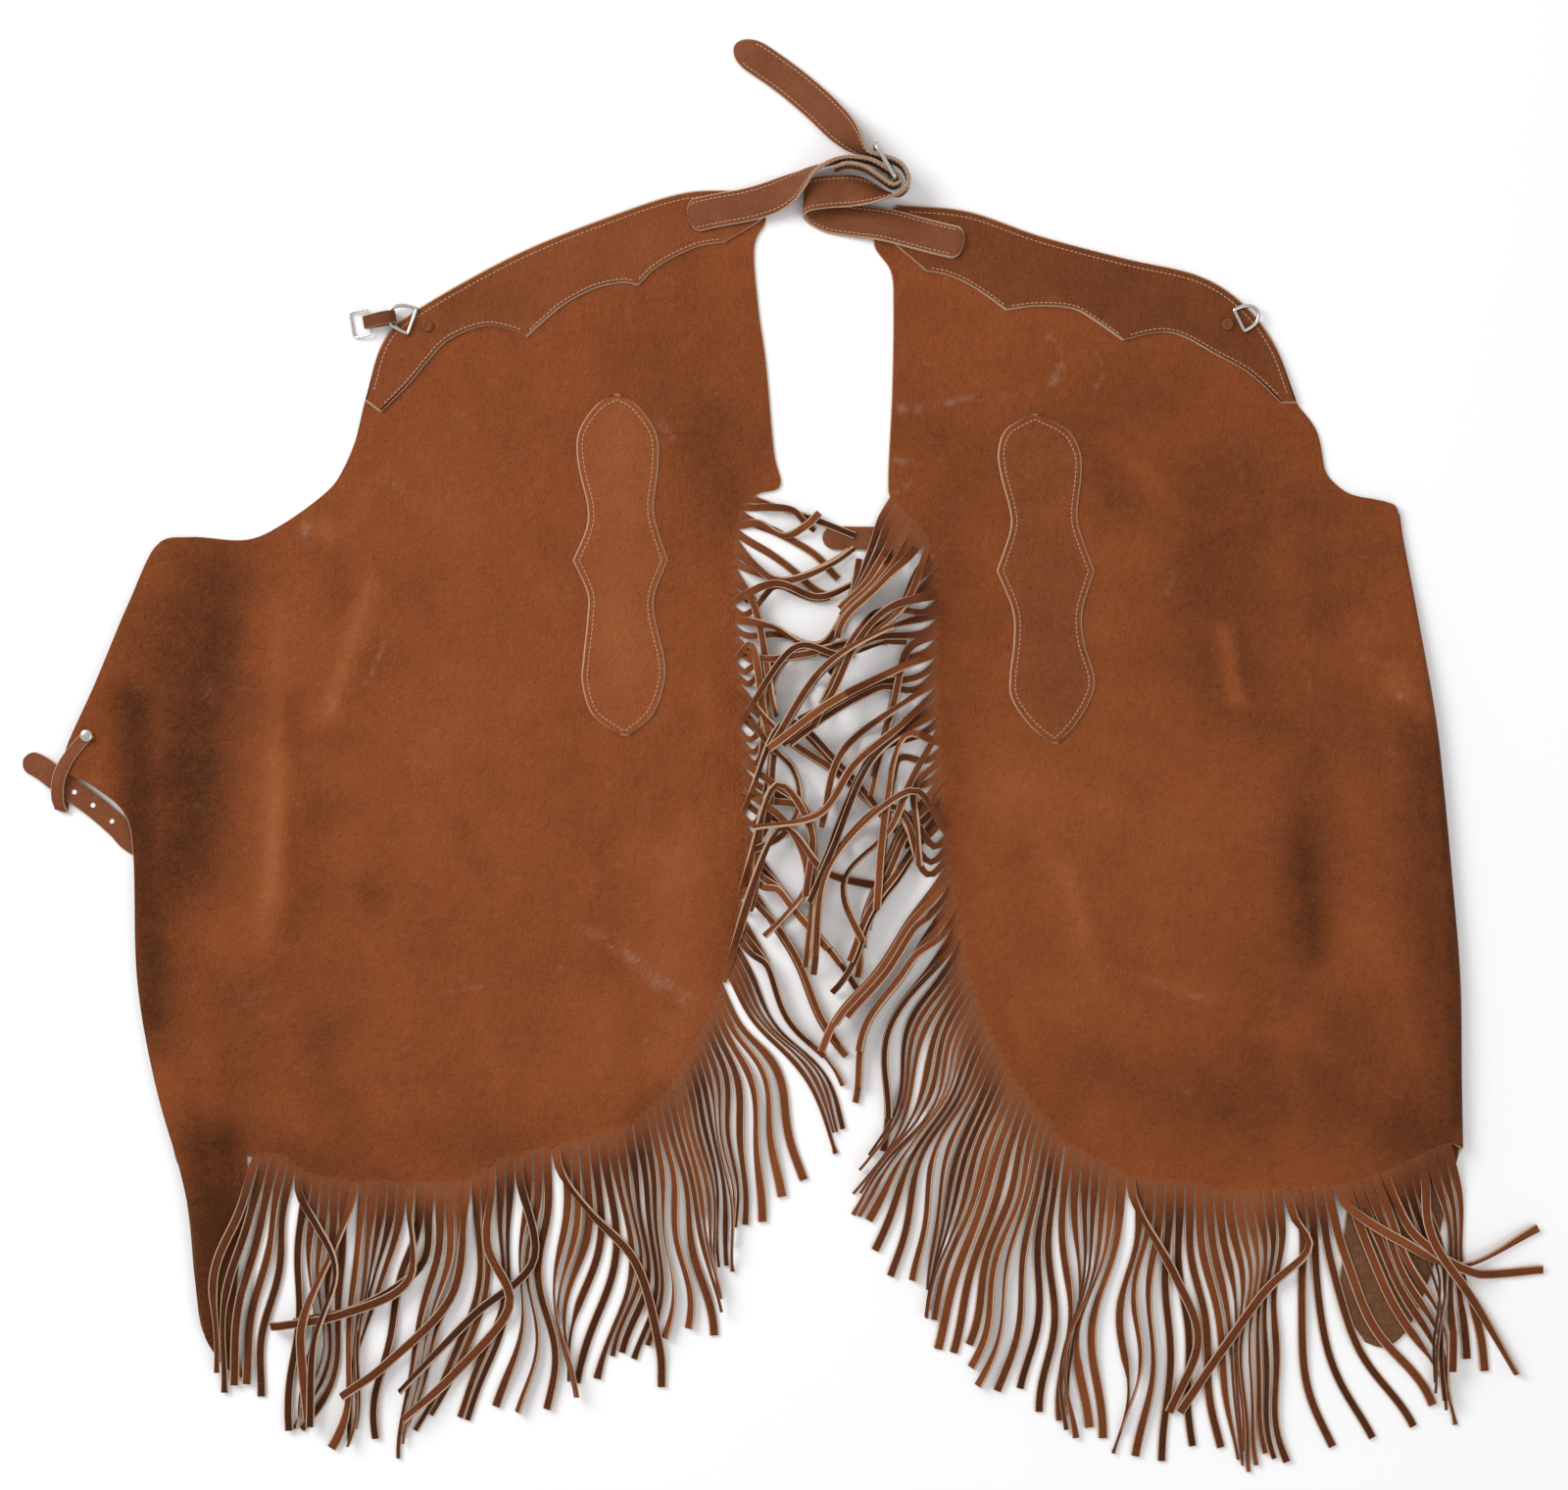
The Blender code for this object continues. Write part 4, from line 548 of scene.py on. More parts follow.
def sheet_shell(middle: Array, thick: float, tone: Array | None = None, bevel: float = 0.6) -> Shell:
    """Closed wall of even thickness on a grid, with its cut edge sloping outwards.

    The top is the middle plus half the thickness along the grid's normal (the cross product of
    its two slopes), and its border is drawn in by the bevel so that the cut edge shows.

    Args:
        middle: Grid of middle points, across first.
        thick: Thickness of the leather.
        tone: Lightness at each grid point.
        bevel: How far the top border stands back from the lower one.

    Returns:
        The closed shell.
    """
    nu, nv = middle.shape[:2]
    normal = np.cross(np.gradient(middle, axis=0), np.gradient(middle, axis=1))
    normal /= np.linalg.norm(normal, axis=-1, keepdims=True) + 1e-12
    if normal[nu // 2, nv // 2, 2] < 0:
        normal = -normal
    top = middle + normal * thick / 2
    low = middle - normal * thick / 2
    for edge, inner in (((0,), (1,)), ((-1,), (-2,)), ((slice(None), 0), (slice(None), 1)),
                        ((slice(None), -1), (slice(None), -2))):
        step = middle[inner] - middle[edge]
        top[edge] += step / (np.linalg.norm(step, axis=-1, keepdims=True) + 1e-9) * bevel
    i, j = np.meshgrid(np.arange(nu - 1), np.arange(nv - 1), indexing="ij")
    a = (i * nv + j).ravel()
    face = np.stack([a, a + nv, a + nv + 1, a + 1], axis=1)
    count = nu * nv
    ring = np.concatenate([
        np.arange(nu) * nv, (nu - 1) * nv + np.arange(1, nv),
        np.arange(nu - 2, -1, -1) * nv + nv - 1, np.arange(nv - 2, 0, -1),
    ])
    after = np.roll(ring, -1)
    walls = np.stack([after, ring, ring + count, after + count], axis=1)
    kinds = np.concatenate([
        np.full(len(face), Face.GRAIN.value), np.full(len(face), Face.FLESH.value),
        np.full(len(walls), Face.EDGE.value),
    ])
    light = np.zeros(count) if tone is None else tone.ravel()
    shell = Shell(
        np.vstack([top.reshape(-1, 3), low.reshape(-1, 3)]),
        np.vstack([face, face[:, ::-1] + count, walls]), kinds, np.concatenate([light, light]),
    )
    return shell.outward()


def loft_shell(rings: Array, kinds: Array, tone: float | Array = 0.0, closed: bool = False) -> Shell:
    """Closed surface through rings of equal count, capped at both ends unless it closes on itself.

    Args:
        rings: Ring points, station first; an even count a ring.
        kinds: Face value of each side of the ring.
        tone: Lightness, for all or for each station.
        closed: True joins the last ring to the first.

    Returns:
        The closed shell.
    """
    count, sides = rings.shape[:2]
    k = np.arange(count if closed else count - 1)[:, None]
    c = np.arange(sides)[None, :]
    n, d = (k + 1) % count, (c + 1) % sides
    quads = np.stack([k * sides + c, k * sides + d, n * sides + d, n * sides + c], axis=-1).reshape(-1, 4)
    look = np.tile(np.asarray(kinds), len(k))
    if not closed:
        h = np.arange(sides // 2 - 1)
        cap = np.stack([h, h + 1, sides - 2 - h, sides - 1 - h], axis=1)
        quads = np.vstack([quads, cap[:, ::-1], cap + (count - 1) * sides])
        look = np.concatenate([look, np.full(2 * len(cap), Face.EDGE.value)])
    light = np.repeat(np.broadcast_to(np.asarray(tone, float), (count,)), sides)
    return Shell(rings.reshape(-1, 3), quads, look, light).outward()


def band_rings(centres: Array, widths: Array, breadth: Array, thick: float,
               bevel: float | Array = 0.45) -> Array:
    """Rings of a flat band: eight points, with its corners eased.

    Args:
        centres: Middle line.
        widths: Unit direction of the width at each point.
        breadth: Full width at each point.
        thick: Thickness.
        bevel: Ease of the corners, for all or for each point.

    Returns:
        Rings of eight points; sides 0 and 4 are the faces of the band.
    """
    run = np.gradient(centres, axis=0)
    run /= np.linalg.norm(run, axis=1, keepdims=True)
    normal = np.cross(run, widths)
    normal /= np.linalg.norm(normal, axis=1, keepdims=True)
    half = np.broadcast_to(np.asarray(breadth, float) / 2, (len(centres),))[:, None]
    tall = thick / 2
    ease = np.minimum(np.reshape(bevel, (-1, 1)), half * 0.5)
    spots = ((-1, 1, 1, 0), (1, 1, 1, 0), (1, 1, 0, 0.45), (1, -1, 0, 0.45),
             (1, -1, 1, 0), (-1, -1, 1, 0), (-1, -1, 0, 0.45), (-1, 1, 0, 0.45))
    return np.stack([
        centres + widths * side * (half - ease * back) + normal * up * tall * (1 - down)
        for side, up, back, down in spots
    ], axis=1)


BAND_KINDS = [Face.GRAIN.value, 1, 1, 1, Face.GRAIN.value, 1, 1, 1]


def wire_rings(path: Array, radius: Array | float, sides: int, closed: bool) -> Array:
    """Rings of a round wire along a path.

    Args:
        path: Middle line.
        radius: Radius, for all or for each point.
        sides: Points a ring.
        closed: True for a path that closes on itself.

    Returns:
        Ring points, station first: centre + r (cos t first + sin t second).
    """
    if closed:
        run = np.roll(path, -1, axis=0) - np.roll(path, 1, axis=0)
    else:
        run = np.gradient(path, axis=0)
    run /= np.linalg.norm(run, axis=1, keepdims=True)
    axis = np.linalg.svd(path - path.mean(axis=0))[2][2]
    first = axis - run * (run @ axis)[:, None]
    first /= np.linalg.norm(first, axis=1, keepdims=True)
    second = np.cross(run, first)
    t = np.linspace(0, 2 * math.pi, sides, endpoint=False)[None, :, None]
    radii = np.broadcast_to(np.asarray(radius, float), (len(path),))[:, None, None]
    return path[:, None] + (np.cos(t) * first[:, None] + np.sin(t) * second[:, None]) * radii


def turned_shell(centre: tuple[float, float, float], profile: Rows, sides: int = 28) -> Shell:
    """Turned form from rows of height and radius, about an upright line through the centre."""
    table = np.array(profile, float)
    t = np.linspace(0, 2 * math.pi, sides, endpoint=False)
    ring = np.stack([np.cos(t), np.sin(t), np.zeros(sides)], axis=1)
    rings = ring[None] * table[:, 1][:, None, None]
    rings[..., 2] = table[:, 0][:, None]
    return loft_shell(rings + np.array(centre, float), np.zeros(sides, int))


# Finishes


class Group:
    """A shader node group with named inputs and outputs."""

    def __init__(self, name: str, inputs: list[tuple[str, str, object]], outputs: list[tuple[str, str]]) -> None:
        """Makes the group's sockets.

        Args:
            name: Name of the group.
            inputs: Name, socket kind and default of each input.
            outputs: Name and socket kind of each output.
        """
        self.tree = bpy.data.node_groups.new(name, "ShaderNodeTree")
        for label, kind, value in inputs:
            made = self.tree.interface.new_socket(label, in_out="INPUT", socket_type="NodeSocket" + kind)
            if value is not None:
                made.default_value = value
        for label, kind in outputs:
            self.tree.interface.new_socket(label, in_out="OUTPUT", socket_type="NodeSocket" + kind)
        self.enter = self.tree.nodes.new("NodeGroupInput")
        self.leave = self.tree.nodes.new("NodeGroupOutput")

    def node(self, kind: str, **values: object) -> bpy.types.Node:
        """Adds a node; values are its own settings."""
        made = self.tree.nodes.new("ShaderNode" + kind)
        for key, value in values.items():
            setattr(made, key, value)
        return made

    def link(self, start: object, end: object) -> None:
        """Joins two sockets."""
        self.tree.links.new(start, end)

    def noise(self, scale: float, detail: float, rough: float, stretch: Colour = (1, 1, 1)) -> object:
        """Noise on the group's Coordinates; returns its value socket."""
        place = self.node("Mapping")
        place.inputs["Scale"].default_value = stretch
        self.link(self.enter.outputs["Coordinates"], place.inputs["Vector"])
        made = self.node("TexNoise")
        made.inputs["Scale"].default_value = scale
        made.inputs["Detail"].default_value = detail
        made.inputs["Roughness"].default_value = rough
        self.link(place.outputs["Vector"], made.inputs["Vector"])
        return made.outputs["Fac"]

    def ramp(self, value: object, low: float, high: float) -> object:
        """Value stretched so that low gives 0 and high gives 1."""
        made = self.node("MapRange", clamp=True)
        made.inputs["From Min"].default_value = low
        made.inputs["From Max"].default_value = high
        self.link(value, made.inputs["Value"])
        return made.outputs["Result"]

    def math(self, operation: str, first: object, second: object) -> object:
        """Sum, product and the like of two sockets or numbers."""
        made = self.node("Math", operation=operation)
        for spot, value in enumerate((first, second)):
            if isinstance(value, (int, float)):
                made.inputs[spot].default_value = value
            else:
                self.link(value, made.inputs[spot])
        return made.outputs[0]

    def mix(self, share: object, first: object, second: object) -> object:
        """Colour between two, by the share."""
        made = self.node("Mix", data_type="RGBA")
        for spot, value in ((0, share), (6, first), (7, second)):
            if isinstance(value, (int, float)):
                made.inputs[spot].default_value = value
            elif isinstance(value, tuple):
                made.inputs[spot].default_value = (*value, 1.0)
            else:
                self.link(value, made.inputs[spot])
        return made.outputs[2]


class Groups:
    """The effects that more than one material uses."""

    def __init__(self) -> None:
        """Makes the shader groups."""
        self.tone = self._tone()
        self.grain = self._grain()
        self.fibre = self._fibre()

    @staticmethod
    def _tone() -> Group:
        """Oiled leather's colour: dark and light clouds, pores and dusty scuffs over its base, with painted
        shade and highlight from the tone, painted sheen with the rubs, and fine specks that stand in for glints
        and shade on the grain.
        """
        g = Group("oiled tone", [
            ("Coordinates", "Vector", None), ("Base", "Color", None), ("Light", "Color", None),
            ("Dark", "Color", None), ("Tone", "Float", 0.0), ("Rub_and_sheen", "Float", 0.0), ("Scuff", "Float", 0.2),
        ], [("Color", "Color"), ("Wear_and_sheen", "Float")])
        wide = g.noise(9.0, 3.0, 0.55)
        near = g.noise(34.0, 5.0, 0.6)
        # Fine specks lighten and darken the colour as painted glints and shade on the grain; they do not follow
        # the bump.
        fine = g.noise(330.0, 3.0, 0.6)
        cloud = g.math("MULTIPLY", g.math("SUBTRACT", wide, 0.5), 0.62)
        ripple = g.math("MULTIPLY", g.math("SUBTRACT", near, 0.5), 0.62)
        speck_shading = g.math("MULTIPLY", g.math("SUBTRACT", fine, 0.5), 0.6)
        vein = g.math("ABSOLUTE", g.math("SUBTRACT", g.noise(62.0, 6.0, 0.62, (1.0, 1.5, 1.0)), 0.5), 0.0)
        vein = g.math("MULTIPLY", g.ramp(vein, 0.022, 0.0), -0.22)
        total = g.math("ADD", g.math("ADD", cloud, ripple), g.math("ADD", speck_shading, g.enter.outputs["Tone"]))
        total = g.math("ADD", total, vein)
        lighter = g.ramp(total, 0.0, 1.0)
        darker = g.ramp(total, 0.0, -1.0)
        colour = g.mix(lighter, g.enter.outputs["Base"], g.enter.outputs["Light"])
        colour = g.mix(darker, colour, g.enter.outputs["Dark"])
        streaks = g.ramp(g.noise(26.0, 6.0, 0.72, (1.0, 2.6, 1.0)), 0.62, 0.78)
        # The rubs put in scuffs and painted sheen; both lighten the colour towards a pale dusty brown, as the
        # dusty streaks do.
        rubbed_and_sheen = g.math("MULTIPLY", g.enter.outputs["Rub_and_sheen"], g.ramp(g.noise(90.0, 4.0, 0.6), 0.42, 0.62))
        dust_and_sheen = g.math("ADD", g.math("MULTIPLY", streaks, g.enter.outputs["Scuff"]), rubbed_and_sheen)
        colour = g.mix(dust_and_sheen, colour, (0.36, 0.22, 0.155))
        g.link(colour, g.leave.inputs["Color"])
        g.link(dust_and_sheen, g.leave.inputs["Wear_and_sheen"])
        return g

    @staticmethod
    def _grain() -> Group:
        """Height of the grain: small pebbles, fine wrinkles and soft undulation."""
        g = Group("pebbled grain", [("Coordinates", "Vector", None), ("Pebble", "Float", 1.0)],
                  [("Height", "Float")])
        cells = g.node("TexVoronoi", feature="DISTANCE_TO_EDGE")
        cells.inputs["Scale"].default_value = 380.0
        g.link(g.enter.outputs["Coordinates"], cells.inputs["Vector"])
        pebble = g.ramp(cells.outputs["Distance"], 0.0, 0.35)
        wrinkle = g.noise(190.0, 5.0, 0.68, (1.0, 0.55, 1.0))
        swell = g.noise(38.0, 3.0, 0.5)
        total = g.math("ADD", g.math("MULTIPLY", pebble, 0.22), g.math("MULTIPLY", wrinkle, 1.25))
        total = g.math("MULTIPLY", total, g.enter.outputs["Pebble"])
        g.link(g.math("ADD", total, g.math("MULTIPLY", swell, 1.1)), g.leave.inputs["Height"])
        return g

    @staticmethod
    def _fibre() -> Group:
        """Cut or suede fibres: a colour between two, and its height."""
        g = Group("fibres", [("Coordinates", "Vector", None), ("First", "Color", None),
                             ("Second", "Color", None), ("Scale", "Float", 900.0)],
                  [("Color", "Color"), ("Height", "Float")])
        made = g.noise(900.0, 4.0, 0.7)
        g.link(g.enter.outputs["Scale"], made.node.inputs["Scale"])
        share = g.ramp(made, 0.3, 0.7)
        g.link(g.mix(share, g.enter.outputs["First"], g.enter.outputs["Second"]), g.leave.inputs["Color"])
        g.link(made, g.leave.inputs["Height"])
        return g


class Surface:
    """A new material with its shader, object coordinates and helpers."""

    def __init__(self, name: str, roughness: float, metallic: float = 0.0, specular: float = 0.5) -> None:
        """Sets the shader's constant values.

        Args:
            name: Name of the material.
            roughness: Roughness of the shader.
            metallic: Metallic value.
            specular: Specular level.
        """
        self.material = bpy.data.materials.new(name)
        self.material.use_nodes = True
        self.tree = self.material.node_tree
        self.shader = self.tree.nodes["Principled BSDF"]
        self.shader.inputs["Roughness"].default_value = roughness
        self.shader.inputs["Metallic"].default_value = metallic
        self.shader.inputs["Specular IOR Level"].default_value = specular
        self.place = self.tree.nodes.new("ShaderNodeTexCoord").outputs["Object"]

    def use(self, group: Group, **values: object) -> bpy.types.Node:
        """Adds a group node on the object coordinates; values set its inputs."""
        made = self.tree.nodes.new("ShaderNodeGroup")
        made.node_tree = group.tree
        self.tree.links.new(self.place, made.inputs["Coordinates"])
        for key, value in values.items():
            spot = made.inputs[key]
            spot.default_value = (*value, 1.0) if isinstance(value, tuple) else value
        return made

    def bump(self, height: object, distance: float, strength: float) -> None:
        """Feeds a height into the shader's normal.

        Args:
            height: Socket of the height.
            distance: Depth in metres.
            strength: Share of the effect.
        """
        made = self.tree.nodes.new("ShaderNodeBump")
        made.inputs["Distance"].default_value = distance
        made.inputs["Strength"].default_value = strength
        self.tree.links.new(height, made.inputs["Height"])
        self.tree.links.new(made.outputs["Normal"], self.shader.inputs["Normal"])


@dataclass(frozen=True)
class LeatherFinish:
    """Grain side of oiled leather.

    Attributes:
        name: Name of the material.
        base: Usual colour.
        light: Colour of stretched and rubbed places, and of painted highlight.
        dark: Colour of oiled places, and of painted shade.
        scuff: Strength of the dusty scuffs.
        rough: Roughness.
        depth: Depth of the grain in metres.
    """

    name: str
    base: Colour
    light: Colour
    dark: Colour
    scuff: float = 0.2
    rough: float = 0.58
    depth: float = 0.0022

    def build(self, groups: Groups) -> bpy.types.Material:
        """Makes the material."""
        s = Surface(self.name, self.rough, specular=0.10)
        tone = s.use(groups.tone, Base=self.base, Light=self.light, Dark=self.dark, Scuff=self.scuff)
        for label, socket in (("tone", "Tone"), ("rub_and_sheen", "Rub_and_sheen")):
            mark = s.tree.nodes.new("ShaderNodeAttribute")
            mark.attribute_name = label
            s.tree.links.new(mark.outputs["Fac"], tone.inputs[socket])
        s.tree.links.new(tone.outputs["Color"], s.shader.inputs["Base Color"])
        s.bump(s.use(groups.grain).outputs["Height"], self.depth, 0.8)
        return s.material


@dataclass(frozen=True)
class FibreFinish:
    """Cut edge, flesh side or thread: fibres between two colours."""

    name: str
    first: Colour
    second: Colour
    scale: float = 900.0
    rough: float = 0.9

    def build(self, groups: Groups) -> bpy.types.Material:
        """Makes the material."""
        s = Surface(self.name, self.rough, specular=0.05)
        fibre = s.use(groups.fibre, First=self.first, Second=self.second, Scale=self.scale)
        s.tree.links.new(fibre.outputs["Color"], s.shader.inputs["Base Color"])
        s.bump(fibre.outputs["Height"], 0.0003, 0.6)
        return s.material


@dataclass(frozen=True)
class PlainFinish:
    """One even colour, for metal, the painted shade in dark holes, and the floor."""

    name: str
    colour: Colour
    rough: float
    metallic: float = 0.0

    def build(self) -> bpy.types.Material:
        """Makes the material."""
        s = Surface(self.name, self.rough, self.metallic)
        s.shader.inputs["Base Color"].default_value = (*self.colour, 1.0)
        return s.material


class Finishes:
    """Every material of the chaps."""

    def __init__(self) -> None:
        """Builds every material once."""
        groups = Groups()
        leg = dict(base=(0.228, 0.058, 0.0140), light=(0.34, 0.105, 0.033), dark=(0.066, 0.0175, 0.0035))
        self.leg = LeatherFinish("leg grain", **leg).build(groups)
        self.yoke = LeatherFinish("yoke grain", (0.212, 0.057, 0.0155), (0.31, 0.100, 0.034),
                                  (0.080, 0.022, 0.006), scuff=0.15).build(groups)
        self.patch = LeatherFinish("patch grain", (0.258, 0.069, 0.0185), (0.36, 0.115, 0.038),
                                   (0.10, 0.027, 0.008), scuff=0.15).build(groups)
        self.strap = LeatherFinish("strap grain", (0.185, 0.058, 0.023), (0.31, 0.12, 0.052),
                                   (0.07, 0.022, 0.011), scuff=0.2, depth=0.0007).build(groups)
        self.fringe = LeatherFinish("fringe grain", (0.158, 0.043, 0.0125), (0.26, 0.078, 0.025),
                                    (0.048, 0.013, 0.004), scuff=0.1, depth=0.0007).build(groups)
        self.edge = FibreFinish("cut edge", (0.56, 0.39, 0.27), (0.36, 0.21, 0.13)).build(groups)
        self.flesh = FibreFinish("flesh side", (0.34, 0.22, 0.15), (0.22, 0.125, 0.075), 260.0).build(groups)
        # Painted shade: a darker copy of the flesh side, for the panels' undersides and the turned-under flap,
        # which lie in shade.
        self.inside = FibreFinish("inside of a leg", (0.17, 0.078, 0.038), (0.10, 0.044, 0.021),
                                  260.0).build(groups)
        self.thread = FibreFinish("thread", (0.60, 0.40, 0.27), (0.42, 0.26, 0.16), 2200.0, 0.7).build(groups)
        self.nickel = PlainFinish("nickel", (0.62, 0.60, 0.56), 0.22, 1.0).build()
        # Painted shade: a near-black colour stands in for the shade inside punched holes.
        self.dark = PlainFinish("hole", (0.012, 0.007, 0.005), 0.9).build()
        self.pale = PlainFinish("floor through a hole", (0.80, 0.80, 0.82), 0.9).build()

    def hide(self, grain: bpy.types.Material) -> list[bpy.types.Material]:
        """The three materials of a leather piece, in the order of Face."""
        return [grain, self.edge, self.flesh]


# Placing in the frame


class Workbench:
    """Turns shells into pieces in the frame's place."""

    def __init__(self) -> None:
        """Finds where the frame puts the part."""
        low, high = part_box("leg_strap_rivet")
        middle = (np.array(low) + np.array(high)) / 2 / MM
        self.shift = np.array([middle[0] - RIVET_PLACE[0], middle[1] - RIVET_PLACE[1], 0.0])

    def piece(self, name: str, shell: Shell, looks: list[bpy.types.Material], nodes: list[str],
              slot: str) -> bpy.types.Object:
        """Puts a shell into the scene.

        Args:
            name: Name of the piece.
            shell: Its surface, in plan millimetres.
            looks: Materials, in the order of Face.
            nodes: CAD nodes that it stands for.
            slot: The record's material slot; not used.

        Returns:
            The new object, riding on the root body.
        """
        name = name.replace(" ", "_") + "_form"
        mesh = bpy.data.meshes.new(name)
        mesh.from_pydata(((shell.points + self.shift) * MM).tolist(), [], shell.quads.tolist())
        for look in looks:
            mesh.materials.append(look)
        kinds = np.minimum(shell.kinds, len(looks) - 1).astype(np.int32)
        mesh.polygons.foreach_set("material_index", kinds)
        mesh.polygons.foreach_set("use_smooth", np.ones(len(shell.quads), bool))
        for label, values in (("tone", shell.tone), ("rub_and_sheen", shell.rub_and_sheen)):
            if values is not None:
                mark = mesh.attributes.new(label, "FLOAT", "POINT")
                mark.data.foreach_set("value", values.astype(np.float32))
        mesh.set_sharp_from_angle(angle=math.radians(42))
        mesh.update()
        made = bpy.data.objects.new(name, mesh)
        bpy.context.scene.collection.objects.link(made)
        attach(made, "root")
        if nodes:
            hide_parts(*nodes)
        log.info("%s: %d points, %d faces", name, len(shell.points), len(shell.quads))
        return made


# Sub-assemblies


class Side(Enum):
    """Leg of the wearer as the chaps lie."""

    LEFT = "left"
    RIGHT = "right"


class Ground:
    """Height of everything laid so far, in square cells of the plan."""

    CELL = 1.0

    def __init__(self) -> None:
        """Starts with the bare floor."""
        self.low = np.array([-620.0, -600.0])
        self.size = (1260, 1200)
        self.top = np.zeros(self.size)

    def cells(self, points: Array) -> tuple[Array, Array]:
        """Cell numbers of plan points."""
        at = np.floor((points - self.low) / self.CELL).astype(int)
        return np.clip(at[..., 0], 0, self.size[0] - 1), np.clip(at[..., 1], 0, self.size[1] - 1)

    def lay_grid(self, points: Array, thick: float) -> None:
        """Puts a sheet on the ground.

        Args:
            points: Grid of its middle points.
            thick: Its thickness.
        """
        fine = points
        for axis in (0, 1):
            for _ in range(3):
                ahead = np.roll(fine, -1, axis=axis)
                fine = np.stack([fine, (fine + ahead) / 2], axis=axis + 1)
                fine = fine.reshape(*fine.shape[:axis], -1, *fine.shape[axis + 2:])
                fine = np.delete(fine, -1, axis=axis)
        i, j = self.cells(fine[..., :2])
        np.maximum.at(self.top, (i.ravel(), j.ravel()), (fine[..., 2] + thick / 2).ravel())

    def footprint(self, centres: Array, half: Array) -> Array:
        """Plan points across a band of these half widths."""
        run = np.gradient(centres, axis=0)
        run /= np.linalg.norm(run, axis=1, keepdims=True) + 1e-9
        side = np.stack([-run[:, 1], run[:, 0]], axis=1)
        steps = np.linspace(-1, 1, 9)[None, :, None]
        return centres[:, None, :] + side[:, None, :] * steps * np.asarray(half).reshape(-1, 1, 1)

    def lay_band(self, centres: Array, half: Array, top: Array) -> None:
        """Puts a band with these half widths and top heights on the ground."""
        i, j = self.cells(self.footprint(centres, half))
        np.maximum.at(self.top, (i.ravel(), j.ravel()), np.repeat(top, 9))

    def under_band(self, centres: Array, half: Array) -> Array:
        """Greatest height under a band, for each of its centres."""
        i, j = self.cells(self.footprint(centres, half + 0.3))
        return self.top[i, j].max(axis=1)


